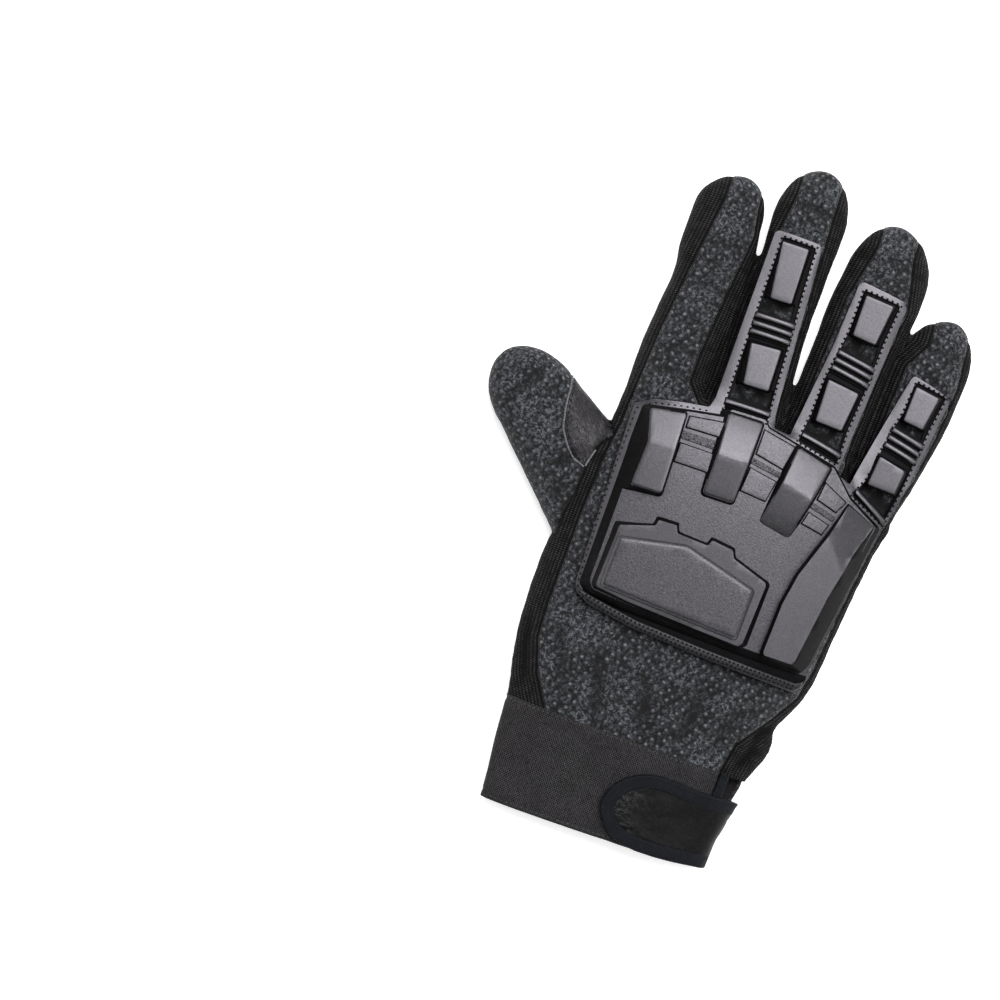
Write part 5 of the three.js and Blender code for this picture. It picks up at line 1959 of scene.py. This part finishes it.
def cord_piece(name, lines, radius, material, slot, sink=0.0):
    """Thin cords along lines, as one closed mesh."""
    curve = bpy.data.curves.new(name, "CURVE")
    curve.dimensions = "3D"
    curve.bevel_depth = radius * MM
    curve.bevel_resolution = 1
    curve.use_fill_caps = True
    for line in lines:
        spots = [p for p, _ in spaced(line, CORD_STEP)]
        spline = curve.splines.new("POLY")
        spline.points.add(len(spots) - 1)
        for point, spot in zip(spline.points, spots):
            point.radius = 1 + CORD_WOBBLE * noise.noise(spot / (WOBBLE_LENGTH * MM))
            spot = spot - surface.find_nearest(spot)[1] * sink * MM
            point.co = (spot.x, spot.y, max(spot.z, radius * MM), 1)
    holder = bpy.data.objects.new(name + "_curve", curve)
    bpy.context.scene.collection.objects.link(holder)
    bm = bmesh.new()
    bm.from_mesh(holder.evaluated_get(bpy.context.evaluated_depsgraph_get()).to_mesh())
    bpy.data.objects.remove(holder)
    bmesh.ops.remove_doubles(bm, verts=bm.verts, dist=0.01 * MM)
    bmesh.ops.recalc_face_normals(bm, faces=bm.faces)
    add_piece(name, bm, [material], slot)


print("Step along a cord:", CORD_STEP, "mm")

# %% [markdown]
# The thread is bonded nylon, black over the guard and grey elsewhere, and too rough to shine. The cut
# edge of the leather is pale, because the dye of its face doesn't reach through.

# %% Thread and cord materials
def thread(name, dark, light, roughness):
    """Bonded nylon thread, or a cut edge of leather: its twist or fibre is drawn at 0.5 mm."""
    material, tree, shader = new_material(name, Roughness=roughness, Specular_IOR_Level=0.15)
    place = add_node(tree, "TexCoord", output="Object")
    fibre = add_node(tree, "TexNoise", {"Vector": place, "Scale": 1 / (0.5 * MM), "Detail": 2.0})
    colour = tone(tree, fibre, 0.35, 0.65, dark, light)
    bump = add_node(tree, "Bump", {"Height": fibre, "Distance": 0.05 * MM})
    set_inputs(tree, shader, {"Base Color": colour, "Normal": bump})
    return material


guard_thread = thread("nylon_thread_black", "030304", "08080a", 0.8)
dark_thread = thread("nylon_thread", "040507", "0d0f14", 0.75)
grey_thread = thread("nylon_thread_grey", "2c2d2f", "46474a", 0.55)
cut_edge = thread("cut_leather_edge", "4c5053", "83888b", 0.7)
piping = thread("rolled_leather_piping", "343538", "68696c", 0.5)
print("Materials in all:", len(bpy.data.materials))

# %% Stitches of palm and back
palm_rows = bmesh.new()
print("Patch stitches:", stitch_beside(palm_rows, "palm_patch", "palm_leather", 1.4))
print("Inset stitches:", stitch_beside(palm_rows, "thumb_gusset", "thumb_back", 1.3))
rows = {"palm_stitches": (palm_rows, dark_thread, "palm_leather")}
back_rows = bmesh.new()
for strip in STRIPS:
    print("Back stitches:", stitch_beside(back_rows, "back_panel", strip, 0.9, 2.8, 1.5, 0.6))
rows["back_stitches"] = (back_rows, grey_thread, "dotted_knit")

# %% Stitches of the guard
guard_rows = bmesh.new()
guard_tree = tree_of(guard_piece)
FLANGE_ROWS = [
    [(-20.6, 48.4), (-30, 46.9), (-39.6, 44.7), (-44.9, 41), (-45, 12), (-43.4, -24), (-41.4, -27.6),
     (-37, -29.2)],
    [(52.6, 27), (50.6, 14), (47.6, -4), (45, -24)],
]
HEM_ROWS = [
    [(-40, -26.9), (-36.6, -27.6), (-20, -30.2), (5, -31.5), (41, -32.3)],
    [(-39, -28.3), (-36.6, -28.9), (-20, -31.6), (5, -32.8), (40.6, -33.5)],
]
for line in FLANGE_ROWS:
    print("Flange stitches:", stitch_from_above(guard_rows, guard_tree, line, 2.2, 1.2, 0.8, 0.15))
for line in HEM_ROWS:
    print("Hem stitches:", stitch_from_above(guard_rows, guard_tree, line, 1.6, 0.9, 0.9))
OUTSIDE_RECESS = 0.3
for recess in RECESSES:
    closed = inset_outline(recess, -OUTSIDE_RECESS)
    stitch_from_above(guard_rows, guard_tree, closed + closed[:1], 2.0, 1.2, 0.95, 0.15)
rows["guard_stitches"] = (guard_rows, guard_thread, "moulded_guard")

# %% Stitches of cuff and strap
BELOW_SEAM = 0.9
cuff_rows = bmesh.new()
band_tree = tree_of(band)
seam_row = [(x, BAND_TOP - BELOW_SEAM) for x in range(-52, 37, 2)]
print("Cuff stitches:", stitch_from_above(cuff_rows, band_tree, seam_row, 1.7, 1.1, 0.42))
hem_row = [(-47, -106.4), (-8, -105.5), (20, -105)]
stitch_from_above(cuff_rows, band_tree, hem_row, 1.9, 1.2, 0.35)
rows["cuff_stitches"] = (cuff_rows, grey_thread, "elastic")
strap_rows = bmesh.new()
strap_tree = tree_of(bpy.data.objects["strap_tape"])
# The two rows of the tape, from its outer edge
TAPE_ROWS = (1.3, 3.7)
far_end = len(STRAP_OUTLINE)
for depth in TAPE_ROWS:
    plan = inset_outline(STRAP_OUTLINE + STRAP_LOWER, depth)
    open_row = plan[far_end + 1:] + plan[:far_end - 1]
    print("Strap stitches:", stitch_from_above(strap_rows, strap_tree, open_row, 2.5, 1.8, 0.45))
rows["strap_stitches"] = (strap_rows, dark_thread, "binding_tape")
for name, (bm, material, slot) in rows.items():
    add_piece(name, bm, [material], slot, smooth_angle=180)

# %% Cut edges and piping
# The piping turns the corner at the wrist and runs on for this far
PIPING_RETURN = 8
edges = []
for strip in STRIPS + ["thumb_back"]:
    edges += seam_lines("palm_leather", strip)
cord_piece("leather_cut_edges", edges, 0.36, cut_edge, "palm_leather", -0.1)
inset_lines = seam_lines("thumb_gusset", "thumb_back")
low_end = min((end for line in inset_lines for end in (line[0], line[-1])), key=lambda p: p[1])
for line in seam_lines("thumb_gusset", "index_side_gusset"):
    inset_lines.append(line[np.linalg.norm(line - low_end, axis=1) < PIPING_RETURN * MM])
cord_piece("thumb_piping", inset_lines, 0.38, piping, "patch_leather", -0.15)
soft.free()
